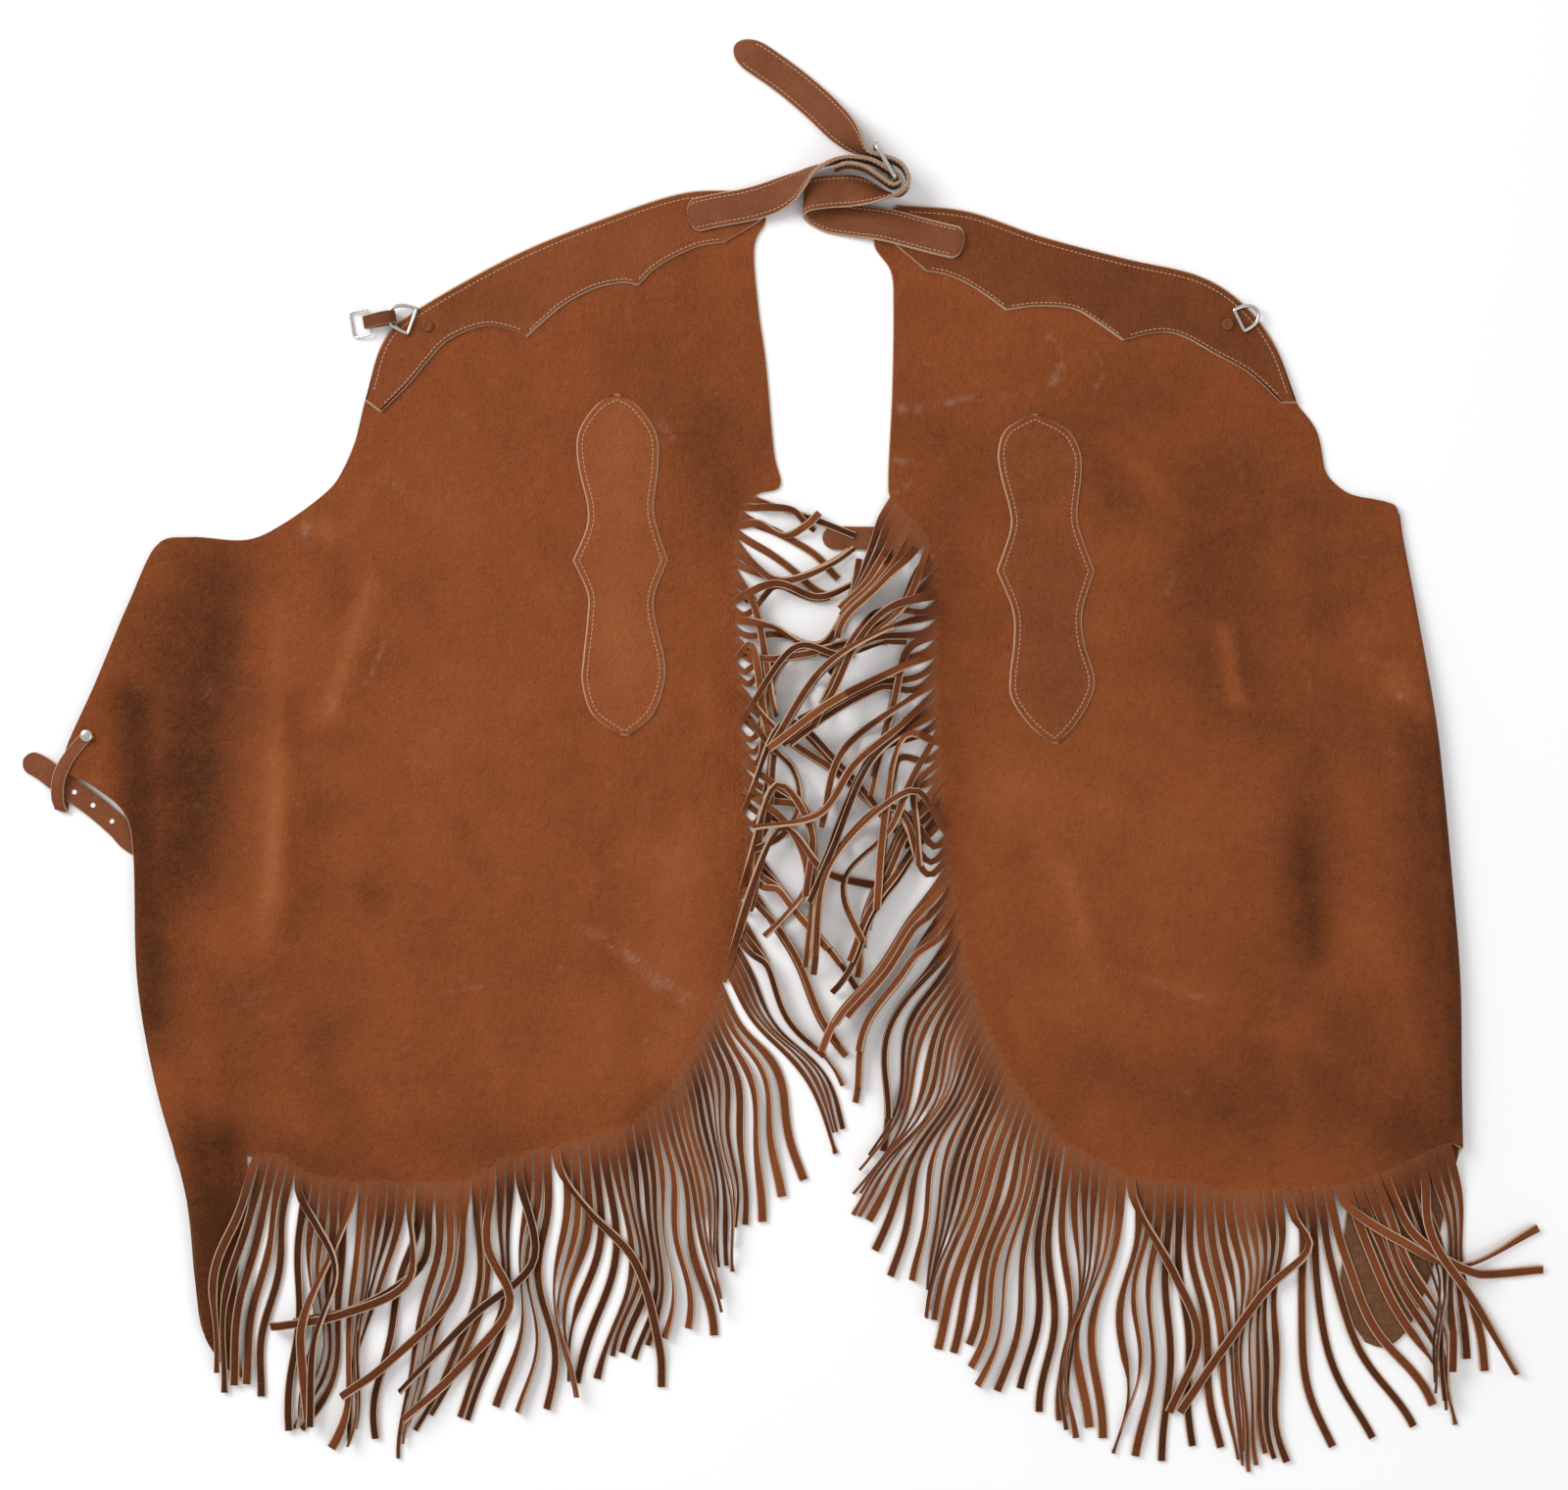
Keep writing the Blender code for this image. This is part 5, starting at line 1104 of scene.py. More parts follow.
@dataclass
class Leg:
    """One leg's panel with the lie of its leather.

    Attributes:
        side: Which leg.
        top: Waist edge.
        inner: Inner edge, down from the waist.
        hem: Hem, from the inner edge outwards.
        outer: Outer edge, down.
        shoulder: Where the top of the outer edge turns down.
        fringe_start: Where on the inner edge the fringe begins.
        fringe_end: Distance of the fringe's end from the middle line.
        ridges: Soft ridges of the lying leather.
        creases: Small creases on top of them.
        tones_and_shading: Light and dark places, partly the leather's own colour and partly painted shade and
            highlight.
        rubs_and_sheen: Scuffs and scratches, and painted sheen.
    """

    side: Side
    top: Rows
    inner: Rows
    hem: Rows
    outer: Rows
    shoulder: tuple[float, float]
    fringe_start: tuple[float, float]
    fringe_end: float
    ridges: Rows
    creases: Rows
    tones_and_shading: Rows
    rubs_and_sheen: Rows
    across: int = 130
    down: int = 190

    def __post_init__(self) -> None:
        """Works out what the rest of the leg is built from."""
        self.inner_line = spline(self.inner, 400)
        self.outer_line = spline(self.outer, 400)

    def fold_radius(self, y: Array) -> Array:
        """The fold opens from a tight crease at its top to its full radius."""
        return FOLD_START_RADIUS + (FOLD_RADIUS - FOLD_START_RADIUS) * smooth((FOLD_TOP_Y - y) / 160)

    def fold_rise(self, plan: Array) -> Array:
        """Height of the front leather over the part that is turned under it.

        It is twice the fold's radius over the flap, and comes down softly beyond it; at the fold
        it follows a quarter circle.

        Args:
            plan: Plan points.

        Returns:
            Rise above the floor.
        """
        y = plan[..., 1]
        radius = self.fold_radius(y)
        away = distance_to(plan, even(self.outer_line[self.outer_line[:, 1] < FOLD_TOP_Y + 12], 40))
        edge = spline(RIGHT_FLAP_EDGE, 60)
        order = np.argsort(edge[:, 1])
        flap_x = np.interp(y, edge[order, 1], edge[order, 0])
        full = 2 * radius * (1 - smooth(np.maximum(flap_x - 12 - plan[..., 0], 0) / 62))
        lip = np.sqrt(np.clip(1 - np.clip((radius - away) / radius, 0, 1) ** 2, 0, 1))
        return full * (0.5 + 0.5 * lip) * smooth((FOLD_TOP_Y + 40 - y) / 40)

    def height(self, plan: Array) -> Array:
        """Middle height of the front leather at plan points."""
        rise = bells(plan, self.ridges, True)
        if self.side is Side.RIGHT:
            rise = rise + self.fold_rise(plan)
            strap = bells(plan, [(70, 163, 92, 163, 4.6, 30.0)], True)
            rise = rise + strap * smooth((150 - plan[..., 0]) / 35)
        rise = rise + np.maximum(bells(plan, self.creases, False), -0.4 * rise)
        return LEATHER / 2 + rise * smooth((250 - plan[..., 1]) / 40)

    def tone(self, plan: Array) -> Array:
        """Lightness of the leather: the placed tones, partly own colour and partly painted shade and highlight,
        with painted highlight on the crests of the creases and painted shade in their hollows.
        """
        crest_shading = bells(plan, self.creases, False)
        return shades(plan, self.tones_and_shading) + 0.18 * np.clip(crest_shading, -1.5, 1.5)

    def root_line(self) -> Array:
        """The line on which the fringe is rooted: down the inner edge, then along the hem."""
        line = spline(self.inner, 200)
        start = int(np.argmin(np.linalg.norm(line - np.array(self.fringe_start), axis=1)))
        hem = spline(self.hem, 97)
        hem = hem[np.abs(hem[:, 0]) < self.fringe_end]
        return even(np.vstack([line[start:], hem[1:]]), 500)

    def plan(self) -> Array:
        """Grid of the panel's plan points, outer edge first."""
        corner = int(np.argmin(np.linalg.norm(self.outer_line - np.array(self.shoulder), axis=1)))
        top = even(np.vstack([self.outer_line[corner:0:-1], spline(self.top, 300)]), self.across + 1)
        first = even(self.outer_line[corner:], self.down + 1)
        last = even(self.inner_line, self.down + 1)
        if self.side is Side.LEFT:
            tongue = int(self.across * 0.25)
            hem = spline(self.hem, self.across + 1 - tongue)[::-1]
            foot = np.vstack([spline(LEFT_TONGUE, tongue + 1)[::-1][:-1], hem])
        else:
            foot = spline(self.hem, self.across + 1)[::-1]
        first[0], last[0] = top[0], top[-1]
        foot[0], foot[-1] = first[-1], last[-1]
        if self.side is Side.LEFT:
            return coons(top, foot, first, last, fade=2.6, keep=2.5)
        start = np.array([0, 0.0004, 0.0016, 0.0035, 0.006, 0.009, 0.0125, 0.0165, 0.021])
        columns = np.concatenate([start, np.linspace(0.028, 1, self.across - 9)])
        return coons(top, foot, first, last, columns, 2.0, 2.5)

    def flap(self) -> Array:
        """Middle grid of the right leg's turned-under part, from the fold to its free edge."""
        rows = 120
        fold = self.outer_line[self.outer_line[:, 1] < FOLD_TOP_Y - 2]
        fold = even(fold, rows)
        edge = spline(RIGHT_FLAP_EDGE, rows)
        columns = np.concatenate([[0, 0.001, 0.004, 0.009, 0.016, 0.026, 0.04], np.linspace(0.06, 1, 36)])
        top = np.linspace(fold[0], edge[0], 60)
        foot = spline(RIGHT_FLAP_FOOT, 60)
        foot[0], foot[-1] = fold[-1], edge[-1]
        plan = coons(top, foot, fold, edge, columns)
        radius = self.fold_radius(plan[..., 1])
        away = np.linalg.norm(plan - plan[:1], axis=-1)
        lip = np.sqrt(np.clip(1 - np.clip((radius - away) / radius, 0, 1) ** 2, 0, 1))
        return np.dstack([plan, LEATHER / 2 + radius * (1 - lip)])

    def build(self, bench: Workbench, looks: Finishes, ground: Ground) -> bpy.types.Object:
        """Makes the leg's panel and lays it on the ground.

        Args:
            bench: Where pieces are put in place.
            looks: The finishes.
            ground: Heights laid so far.

        Returns:
            The panel.
        """
        plan = self.plan()
        middle = np.dstack([plan, self.height(plan)])
        tone = self.tone(plan)
        front = sheet_shell(middle, LEATHER, tone)
        # Scuffs and painted sheen from the rub rows.
        front.rub_and_sheen = np.tile(bells(plan, self.rubs_and_sheen, True).ravel(), 2)
        shells = [front]
        if self.side is Side.RIGHT:
            flap = self.flap()
            ground.lay_grid(flap, LEATHER)
            # The turned-under flap's grain is painted darker, as shade under the front.
            shell = sheet_shell(flap, LEATHER, np.full(flap.shape[:2], -0.35))
            grain, flesh = Face.GRAIN.value, Face.FLESH.value
            kinds = shell.kinds.copy()
            shell.kinds[kinds == grain] = flesh
            shell.kinds[kinds == flesh] = grain
            shells.append(shell)
        ground.lay_grid(middle, LEATHER)
        name = f"{self.side.value}_leg_panel"
        # The panels' flesh faces take the darker copy of the flesh side: painted shade.
        skins = [looks.leg, looks.edge, looks.inside]
        return bench.piece(f"{self.side.value} leg", Shell.joined(shells), skins, [name], "leg_leather")


class Stitching:
    """Thread that shows on the surface: short rounded stitches along paths."""

    PITCH = 3.5
    LONG = 2.5
    RADIUS = 0.36

    def __init__(self) -> None:
        """Starts without a seam."""
        self.shells: list[Shell] = []

    def add(self, path: Array, up: Array) -> None:
        """Sews along a path.

        Each stitch is a short round bar: centre + along s + r (cos t side + sin t up), with its
        radius drawn in at both ends.

        Args:
            path: Points on the surface.
            up: Direction off the surface at each of them.
        """
        along = lengths(path)
        count = max(int(along[-1] / self.PITCH), 1)
        at = (np.arange(count) + 0.5) * along[-1] / count
        centre = sample(path, along, at)
        run = sample(path, along, at + 0.8) - sample(path, along, at - 0.8)
        run /= np.linalg.norm(run, axis=1, keepdims=True)
        rise = sample(up, along, at)
        rise -= run * (rise * run).sum(1, keepdims=True)
        rise /= np.linalg.norm(rise, axis=1, keepdims=True)
        side = np.cross(run, rise)
        s = np.array([-0.5, -0.32, 0.32, 0.5])[None, :, None, None] * self.LONG
        r = np.array([0.4, 1.0, 1.0, 0.4])[None, :, None, None] * self.RADIUS
        t = np.linspace(0, 2 * math.pi, 6, endpoint=False)[None, None, :, None]
        points = centre[:, None, None] + run[:, None, None] * s
        points = points + (np.cos(t) * side[:, None, None] + np.sin(t) * rise[:, None, None]) * r
        one = loft_shell(points[0], np.zeros(6, int))
        quads = (one.quads[None] + (np.arange(count) * 24)[:, None, None]).reshape(-1, 4)
        self.shells.append(Shell(points.reshape(-1, 3), quads, np.zeros(len(quads), int),
                                 np.zeros(count * 24)))

    def build(self, bench: Workbench, looks: Finishes) -> bpy.types.Object:
        """Makes one piece of all the thread."""
        return bench.piece("stitching", Shell.joined(self.shells), [looks.thread], [], "strap_leather")


@dataclass
class Yoke:
    """Scalloped yoke sewn on the top of a leg panel.

    Attributes:
        leg: The leg under it.
        runs: Lower edge, in runs between its cusps.
        tones_and_shading: Light and dark places, partly the leather's own colour and partly painted shade and
            highlight.
    """

    leg: Leg
    runs: list[Rows]
    tones_and_shading: Rows
    SEAM = 2.8
    TOP_SEAM = 5.2

    def build(self, bench: Workbench, looks: Finishes, thread: Stitching) -> bpy.types.Object:
        """Makes the yoke and sews it.

        Args:
            bench: Where pieces are put in place.
            looks: The finishes.
            thread: Takes the seams.

        Returns:
            The yoke.
        """
        left = self.leg.side is Side.LEFT
        low = [spline(run, 44) for run in self.runs]
        lower = np.vstack([low[0], low[1][1:], low[2][1:]])
        top = spline(self.leg.top, len(lower))
        if left:
            lower = lower[::-1]
            first = np.linspace(top[0], lower[0], 36)
            last = spline([tuple(top[-1]), (-13, 410), tuple(lower[-1])], 36)
        else:
            top = top[::-1]
            last = np.linspace(top[-1], lower[-1], 36)
            first = spline([tuple(top[0]), (75, 400), tuple(lower[0])], 36)
        plan = coons(top, lower, first, last)
        # Own colour, and painted shade and highlight, from the tone rows.
        tone = shades(plan, self.tones_and_shading)
        middle = np.dstack([plan, self.leg.height(plan) + LEATHER + GAP])
        sign = 1.0 if left else -1.0
        for run in low:
            self.sew(thread, inward(run, sign * self.SEAM)[2:-2])
        self.sew(thread, inward(spline(self.leg.top, 120), abs(self.TOP_SEAM) * sign)[3:-3])
        name = f"{self.leg.side.value}_yoke"
        return bench.piece(f"{self.leg.side.value} yoke", sheet_shell(middle, LEATHER, tone, 1.5),
                           looks.hide(looks.yoke), [name], "yoke_leather")

    def sew(self, thread: Stitching, line: Array) -> None:
        """Runs a seam along a plan line on the yoke's face."""
        top = self.leg.height(line) + 1.5 * LEATHER + GAP + 0.12
        thread.add(np.column_stack([line, top]), np.tile([0.0, 0.0, 1.0], (len(line), 1)))


@dataclass
class ThighPatch:
    """Long waisted patch sewn on a thigh."""

    leg: Leg
    rows: Rows
    tones_and_shading: Rows
    SEAM = 4.6
    CUSP = 6

    def build(self, bench: Workbench, looks: Finishes, thread: Stitching) -> bpy.types.Object:
        """Makes the patch and sews it on; its sides are smooth curves through the rows."""
        table = np.array(self.rows, float)
        left, right = (
            np.vstack([spline(table[: self.CUSP + 1, [k, 0]], 75), spline(table[self.CUSP:, [k, 0]], 76)[1:]])
            for k in (1, 2)
        )
        share = np.linspace(0, 1, 26)[:, None, None]
        plan = (1 - share) * left[None] + share * right[None]
        middle = np.dstack([plan, self.leg.height(plan) + LEATHER / 2 + GAP + PATCH_THICK / 2])
        # Own colour, and painted shade and highlight, from the tone rows.
        tone = shades(plan, self.tones_and_shading)
        loop = np.vstack([left, right[::-1]])
        loop = even(np.vstack([loop, loop[:1]]), 320)
        loop = inward(loop, -self.SEAM)
        loop = loop[distance_to(loop, np.vstack([left, right[::-1], left[:1]])) > self.SEAM * 0.93]
        loop = np.vstack([loop, loop[:1]])
        top = self.leg.height(loop) + LEATHER / 2 + GAP + PATCH_THICK + 0.12
        thread.add(np.column_stack([loop, top]), np.tile([0.0, 0.0, 1.0], (len(loop), 1)))
        name = f"{self.leg.side.value}_thigh_patch"
        return bench.piece(f"{self.leg.side.value} thigh patch", sheet_shell(middle, PATCH_THICK, tone, 1.1),
                           looks.hide(looks.patch), [name], "patch_leather")


@dataclass
class Strap:
    """Flat or twisted leather strap along stations.

    Attributes:
        name: CAD node that it stands for.
        centres: Middle line.
        widths: Unit direction of its width at each point.
        breadth: Full width at each point.
        thick: Thickness.
        seam: How far its stitches stand from its edges; none when 0.
        sewn: Shares of its length between which it is sewn.
    """

    name: str
    centres: Array
    widths: Array
    breadth: Array
    thick: float
    seam: float = 0.0
    sewn: tuple[float, float] = (0.0, 1.0)

    @classmethod
    def waist(cls, name: str, rows: Rows, count: int, first: float, last: float,
              sewn: tuple[float, float]) -> "Strap":
        """Waist strap from its stations: x, y, lowest edge, heading of the width, rise."""
        table = np.array(rows, float)
        heading, rise = np.radians(table[:, 3]), np.radians(table[:, 4])
        width = np.stack([np.cos(heading) * np.cos(rise), np.sin(heading) * np.cos(rise), np.sin(rise)], 1)
        middle = table[:, 2] + STRAP_WIDTH / 2 * np.abs(width[:, 2])
        middle += STRAP_THICK / 2 * np.sqrt(1 - width[:, 2] ** 2)
        fine = spline(np.column_stack([table[:, :2], middle, width]), count)
        fine[:, 3:] /= np.linalg.norm(fine[:, 3:], axis=1, keepdims=True)
        share = cls.rounded(lengths(fine[:, :3]), first, last)
        return cls(name, fine[:, :3], fine[:, 3:], STRAP_WIDTH * share, STRAP_THICK, 2.8, sewn)

    @classmethod
    def flat(cls, name: str, rows: Rows, breadth: float, thick: float, point: float) -> "Strap":
        """Flat strap from rows of x, y and lowest z, with a round tip at its start."""
        line = spline(rows, 90)
        run = np.gradient(line[:, :2], axis=0)
        run /= np.linalg.norm(run, axis=1, keepdims=True)
        widths = np.column_stack([-run[:, 1], run[:, 0], np.zeros(len(run))])
        share = cls.rounded(lengths(line), point, 0)
        return cls(name, line + np.array([0, 0, thick / 2]), widths, breadth * share, thick)

    @staticmethod
    def rounded(along: Array, first: float, last: float) -> Array:
        """Share of the full breadth near round ends of these radii."""
        share = np.ones_like(along)
        for radius, away in ((first, along), (last, along[-1] - along)):
            if radius:
                inside = np.clip(1 - away / radius, 0, 1)
                share = np.minimum(share, np.sqrt(np.clip(1 - inside ** 2, 0.02, 1)))
        return share

    def build(self, bench: Workbench, looks: Finishes, thread: Stitching,
              tone: float = 0.0) -> bpy.types.Object:
        """Makes the strap, and sews along its edges on both faces when it has a seam.

        Args:
            bench: Where pieces are put in place.
            looks: The finishes.
            thread: Takes the seams.
            tone: Lightness of the whole strap.

        Returns:
            The strap.
        """
        if not self.seam:
            rings = band_rings(self.centres, self.widths, self.breadth, self.thick)
            shell = loft_shell(rings, BAND_KINDS, tone)
        else:
            run = np.gradient(self.centres, axis=0)
            normal = np.cross(run, self.widths)
            normal /= np.linalg.norm(normal, axis=1, keepdims=True)
            layer = self.thick / 2 - 0.08
            shell = Shell.joined([
                loft_shell(band_rings(self.centres + normal * face * self.thick / 4, self.widths,
                                      self.breadth - less, layer, 0.6), BAND_KINDS, tone)
                for face, less in ((1, 1.4), (-1, 0.0))
            ])
            share = lengths(self.centres) / lengths(self.centres)[-1]
            part = (share >= self.sewn[0]) & (share <= self.sewn[1])
            normal = normal[part]
            for face in (1, -1):
                for edge in (1, -1):
                    reach = (np.clip(self.breadth / 2 - self.seam - 0.4, 1.0, None) * edge)[:, None]
                    line = (self.centres + self.widths * reach)[part] + normal * face * (self.thick / 2 + 0.1)
                    thread.add(line, normal * face)
        return bench.piece(self.name, shell, looks.hide(looks.strap), [self.name], "strap_leather")


@dataclass
class Fringe:
    """Fringe of one leg, cut from its inner edge and hem.

    Attributes:
        leg: The leg that it hangs from.
        table: Share of the root line, heading at the root and at the tip, length.
        crossing: Strands laid over the rest: share of the root, points that they pass.
        dice: Source of the small unevenness.
        bend: Greatest turn of a strand's side bends, in degrees.
        paired: Share of the root line down to which strands lie together in bundles.
        bundle: How many strands go into a bundle there.
        spread: How far apart the strands of a bundle lie.
        dark: How much darker the hem's strands are than the rest: painted shade between the stacked strands.
    """

    leg: Leg
    table: Rows
    crossing: list[tuple[float, Rows]]
    dice: np.random.Generator
    bend: float = 17.0
    paired: float = 0.42
    bundle: int = 4
    spread: float = 1.8
    dark: float = 0.0
    STRANDS = 112
    INNER = 0.6
    STATIONS = 30
    OVERLAP = 3.2
    ROOT_TONE = 0.62
    KNEE = 13.0
    PRESS = 0.5

    def plans(self) -> tuple[Array, float, list[Array], list[bool]]:
        """Plan line of every strand.

        A strand turns evenly from one heading to the other over its length, with a slow wave
        from strand to strand; one that crosses the rest follows its own points.

        Returns:
            The root line, the pitch, the strands' points, and which of them cross.
        """
        line = self.leg.root_line()
        along = lengths(line)
        pitch = along[-1] / self.STRANDS
        wave = self.dice.uniform(0, 2 * math.pi, 3)
        rows = np.array(self.table, float)
        heroes = {int(share * self.STRANDS): points for share, points in self.crossing}
        steps = np.linspace(0, 1, 25)
        strands, crosses = [], []
        for i in range(self.STRANDS):
            share = (i + 0.5) / self.STRANDS
            root = sample(line, along, np.array((i + 0.5) * pitch))
            first, last, length = (np.interp(share, rows[:, 0], rows[:, k]) for k in (1, 2, 3))
            drift = 2.2 * math.sin(i / 2.3 + wave[0]) + 1.6 * math.sin(i / 4.1 + wave[1])
            length *= 1 + 0.035 * math.sin(i * 1.7 + wave[2]) + self.dice.uniform(-0.03, 0.03)
            if i in heroes:
                passed = [p for p in heroes[i] if share < self.INNER or math.dist(p, root) > 42.0]
                toward = np.array(passed[0]) - root
                toward = np.degrees(np.arctan2(toward[1], toward[0]))
                away = np.radians(first + 0.45 * (toward - first))
                lead = tuple(root + 20.0 * np.array([math.cos(away), math.sin(away)]))
                first_points = [tuple(root), lead] if share > self.INNER else [tuple(root)]
                plan = spline([*first_points, *passed], self.STATIONS)
            else:
                clump = 4.0 * math.sin(i / 1.05 + wave[1]) + 8.5 * math.sin(i / 2.2 + wave[2])
                bend = self.bend * (0.62 + 0.38 * math.sin(i / 3.7 + wave[0])) + self.dice_free(i, -2.0, 2.0)
                bend *= 1 - 0.75 * math.exp(-((share - 0.57) / 0.07) ** 2)
                phase = i / 17.0 + self.dice_free(i + 70, -0.05, 0.05)
                bend = bend * np.sin(2 * math.pi * ((0.78 + 0.1 * math.sin(i / 6.0)) * steps + phase))
                turn = first + 0.3 * drift + (last + 0.7 * drift + clump - first) * smooth(steps)
                ripple = self.dice_free(i + 33, 3.0, 12.0) * np.sin(2 * math.pi * (1.75 * steps + i / 11.0))
                turn = np.radians(turn + (bend + ripple) * smooth(steps / 0.3))
                hop = length / 24 * np.stack([np.cos(turn), np.sin(turn)], axis=1)
                plan = spline(root + np.vstack([[0, 0], np.cumsum(hop[:-1], axis=0)]), self.STATIONS)
                if 0.05 < share < self.paired and (i % self.bundle or crosses[-1]):
                    join = smooth(np.linspace(0, 1, self.STATIONS) / 0.34)[:, None]
                    aside = inward(strands[-1], self.dice_free(i + 5, -self.spread, self.spread))
                    plan = plan * (1 - join) + aside * join
                    cut = int(self.STATIONS * self.dice_free(i + 11, 0.78, 1.0))
                    plan = even(plan[:cut], self.STATIONS)
            strands.append(plan)
            crosses.append(i in heroes)
        return line, pitch, strands, crosses

    def lie(self, plan: Array, half: Array, tall: Array, root_z: float, ground: Ground) -> Array:
        """Middle heights of a strand that lies on whatever is under it.

        Args:
            plan: Its plan points.
            half: Half of its width as it lies.
            tall: Its height as it lies.
            root_z: Middle height at its root.
            ground: Heights laid so far.

        Returns:
            The middle height at each point.
        """
        along = lengths(plan)
        under = ground.under_band(plan, half * 0.6)
        under[along < 9.0] = 0.0
        need = np.where(under > 0, under + GAP, 0.45) + tall / 2
        pad = np.pad(need, 2, mode="edge")
        need = np.max([pad[k: k + len(need)] for k in range(5)], axis=0)
        pad = np.pad(need, 2, mode="edge")
        need = np.maximum(need, sum(pad[k: k + len(need)] for k in range(5)) / 5)
        z = np.maximum(need, root_z * np.clip(1 - along / 45.0, 0, 1))
        ease = smooth(along / 14.0)
        return root_z * (1 - ease) + z * ease

    def build(self, bench: Workbench, looks: Finishes, ground: Ground) -> list[bpy.types.Object]:
        """Makes the inner and hem fringes.

        Args:
            bench: Where pieces are put in place.
            looks: The finishes.
            ground: Heights laid so far.

        Returns:
            The two pieces.
        """
        line, pitch, strands, crosses = self.plans()
        along = lengths(line)
        edge_z = self.leg.height(line)
        rest = sorted(range(self.STRANDS), key=lambda i: crosses[i])
        shells: dict[int, Shell] = {}
        for i in rest:
            plan = strands[i]
            room = np.full(len(plan), 20.0)
            for j in (i - 1, i + 1):
                if 0 <= j < self.STRANDS and not crosses[j]:
                    room = np.minimum(room, distance_to(plan, strands[j]))
            fuller = 0.26 * smooth(((i + 0.5) / self.STRANDS - 0.36) / 0.12)
            breadth = np.full(len(plan), FRINGE_WIDTH * (self.dice_free(i, 1.08, 1.34) + fuller))
            if (i + 0.5) / self.STRANDS >= self.paired and not crosses[i]:
                tight = np.pad(np.clip(room - 0.4, 2.2, breadth), 2, mode="edge")
                breadth = np.min([tight[k: k + len(plan)] for k in range(5)], axis=0)
            share = np.linspace(0, 1, len(plan))
            wide = np.clip(room - 0.5, FRINGE_THICK, breadth)
            twist = self.dice_free(i + 9, -48.0, 80.0) * np.sin(math.pi * np.clip(
                share * self.dice_free(i + 3, 0.8, 1.9) - self.dice_free(i + 21, -0.1, 0.35), 0, 1))
            if 0.05 < (i + 0.5) / self.STRANDS < self.paired and i % self.bundle:
                twist = twist * 0.4
            if crosses[i]:
                wide = breadth
                twist = 12 + 46 * np.sin(2 * math.pi * (share * 0.8 + i * 0.31))
            lean = np.arccos(np.clip((wide - FRINGE_THICK) / (breadth - FRINGE_THICK), 0, 1))
            lean = np.clip(np.maximum(lean * 0.3, np.radians(np.clip(twist, 0, 82))), 0, math.radians(82))
            lean = lean * smooth(share / 0.14)
            pad = np.pad(lean, 2, mode="edge")
            lean = sum(pad[k: k + len(lean)] for k in range(5)) / 5
            tall = FRINGE_THICK * np.cos(lean) + breadth * np.sin(lean)
            half = (breadth * np.cos(lean) + FRINGE_THICK * np.sin(lean)) / 2
            at = (i + 0.5) * pitch
            root_z = float(np.interp(at, along, edge_z)) + (LEATHER - FRINGE_THICK) / 2 + 0.03
            z = self.lie(plan, half, tall, root_z, ground)
            shells[i] = self.strand(i, plan, z, lean, breadth, line, along, pitch, root_z)
            fine = np.linspace(0, 1, 160)
            laid = sample(np.column_stack([plan, half * 0.6, z + tall / 2]), share, fine)
            laid = laid[int(160 * 12.0 / lengths(plan)[-1]):]
            ground.lay_band(laid[:, :2], laid[:, 2], laid[:, 3])
        made = []
        split = int(self.INNER * self.STRANDS)
        for part, low, high in (("inner", 0, split), ("hem", split, self.STRANDS)):
            shell = Shell.joined([shells[i] for i in range(low, high)])
            node = f"{self.leg.side.value}_{part}_fringe"
            made.append(bench.piece(node.replace("_", " "), shell, looks.hide(looks.fringe), [node],
                                    "fringe_leather"))
        return made

    @classmethod
    def settle(cls, z: Array) -> Array:
        """Heights of a pile under its own weight: what is above the knee is pressed to a share of it.

        The map rises everywhere, so strands keep their order and none runs into another.
        """
        return np.where(z > cls.KNEE, cls.KNEE + (z - cls.KNEE) * cls.PRESS, z)

    @staticmethod
    def dice_free(i: int, low: float, high: float) -> float:
        """A value between two that looks uneven from strand to strand and is the same each time."""
        return low + (high - low) * (0.5 + 0.5 * math.sin(i * 12.9898 + 4.1) * math.cos(i * 7.233))

    def strand(self, i: int, plan: Array, z: Array, lean: Array, breadth: Array, line: Array,
               along: Array, pitch: float, root_z: float) -> Shell:
        """Closed surface of one strand, with its root let into the panel.

        Args:
            i: Number of the strand.
            plan: Plan points.
            z: Middle heights.
            lean: How far it is turned on its edge.
            breadth: Width of the strand.
            line: Root line.
            along: Distances along it.
            pitch: Width that each strand takes of it.
            root_z: Middle height at the root.

        Returns:
            The shell.
        """
        at = (i + 0.5) * pitch
        tangent = sample(line, along, np.array(at + 1)) - sample(line, along, np.array(at - 1))
        tangent /= np.linalg.norm(tangent)
        away = (plan[1] - plan[0]) / np.linalg.norm(plan[1] - plan[0])
        gap = abs(tangent[0] * away[1] - tangent[1] * away[0]) * pitch
        start = plan[0] - away * self.OVERLAP
        path = np.vstack([start, plan])
        height = np.concatenate([[root_z], z])
        turn = np.concatenate([[0.0], lean])
        reach = lengths(path)
        wide = np.concatenate([breadth[:1], breadth])
        root_wide = max(gap - 0.5, 0.8 * wide[0])
        wide = wide + (root_wide - wide) * (1 - smooth((reach - self.OVERLAP - 12.0) / 40.0))
        run = np.gradient(path, axis=0)
        run /= np.linalg.norm(run, axis=1, keepdims=True)
        widths = np.column_stack([-run[:, 1] * np.cos(turn), run[:, 0] * np.cos(turn), np.sin(turn)])
        bevel = (0.12 + 0.68 * smooth((reach - 16.0) / 34.0)) * np.clip(wide / 6.0, 0.3, 1.0) ** 1.4
        rings = band_rings(np.column_stack([path, height]), widths, wide, FRINGE_THICK, bevel)
        rings[..., 2] = self.settle(rings[..., 2])
        kinds = [Face.GRAIN.value, 1, 1, 1, Face.FLESH.value, 1, 1, 1]
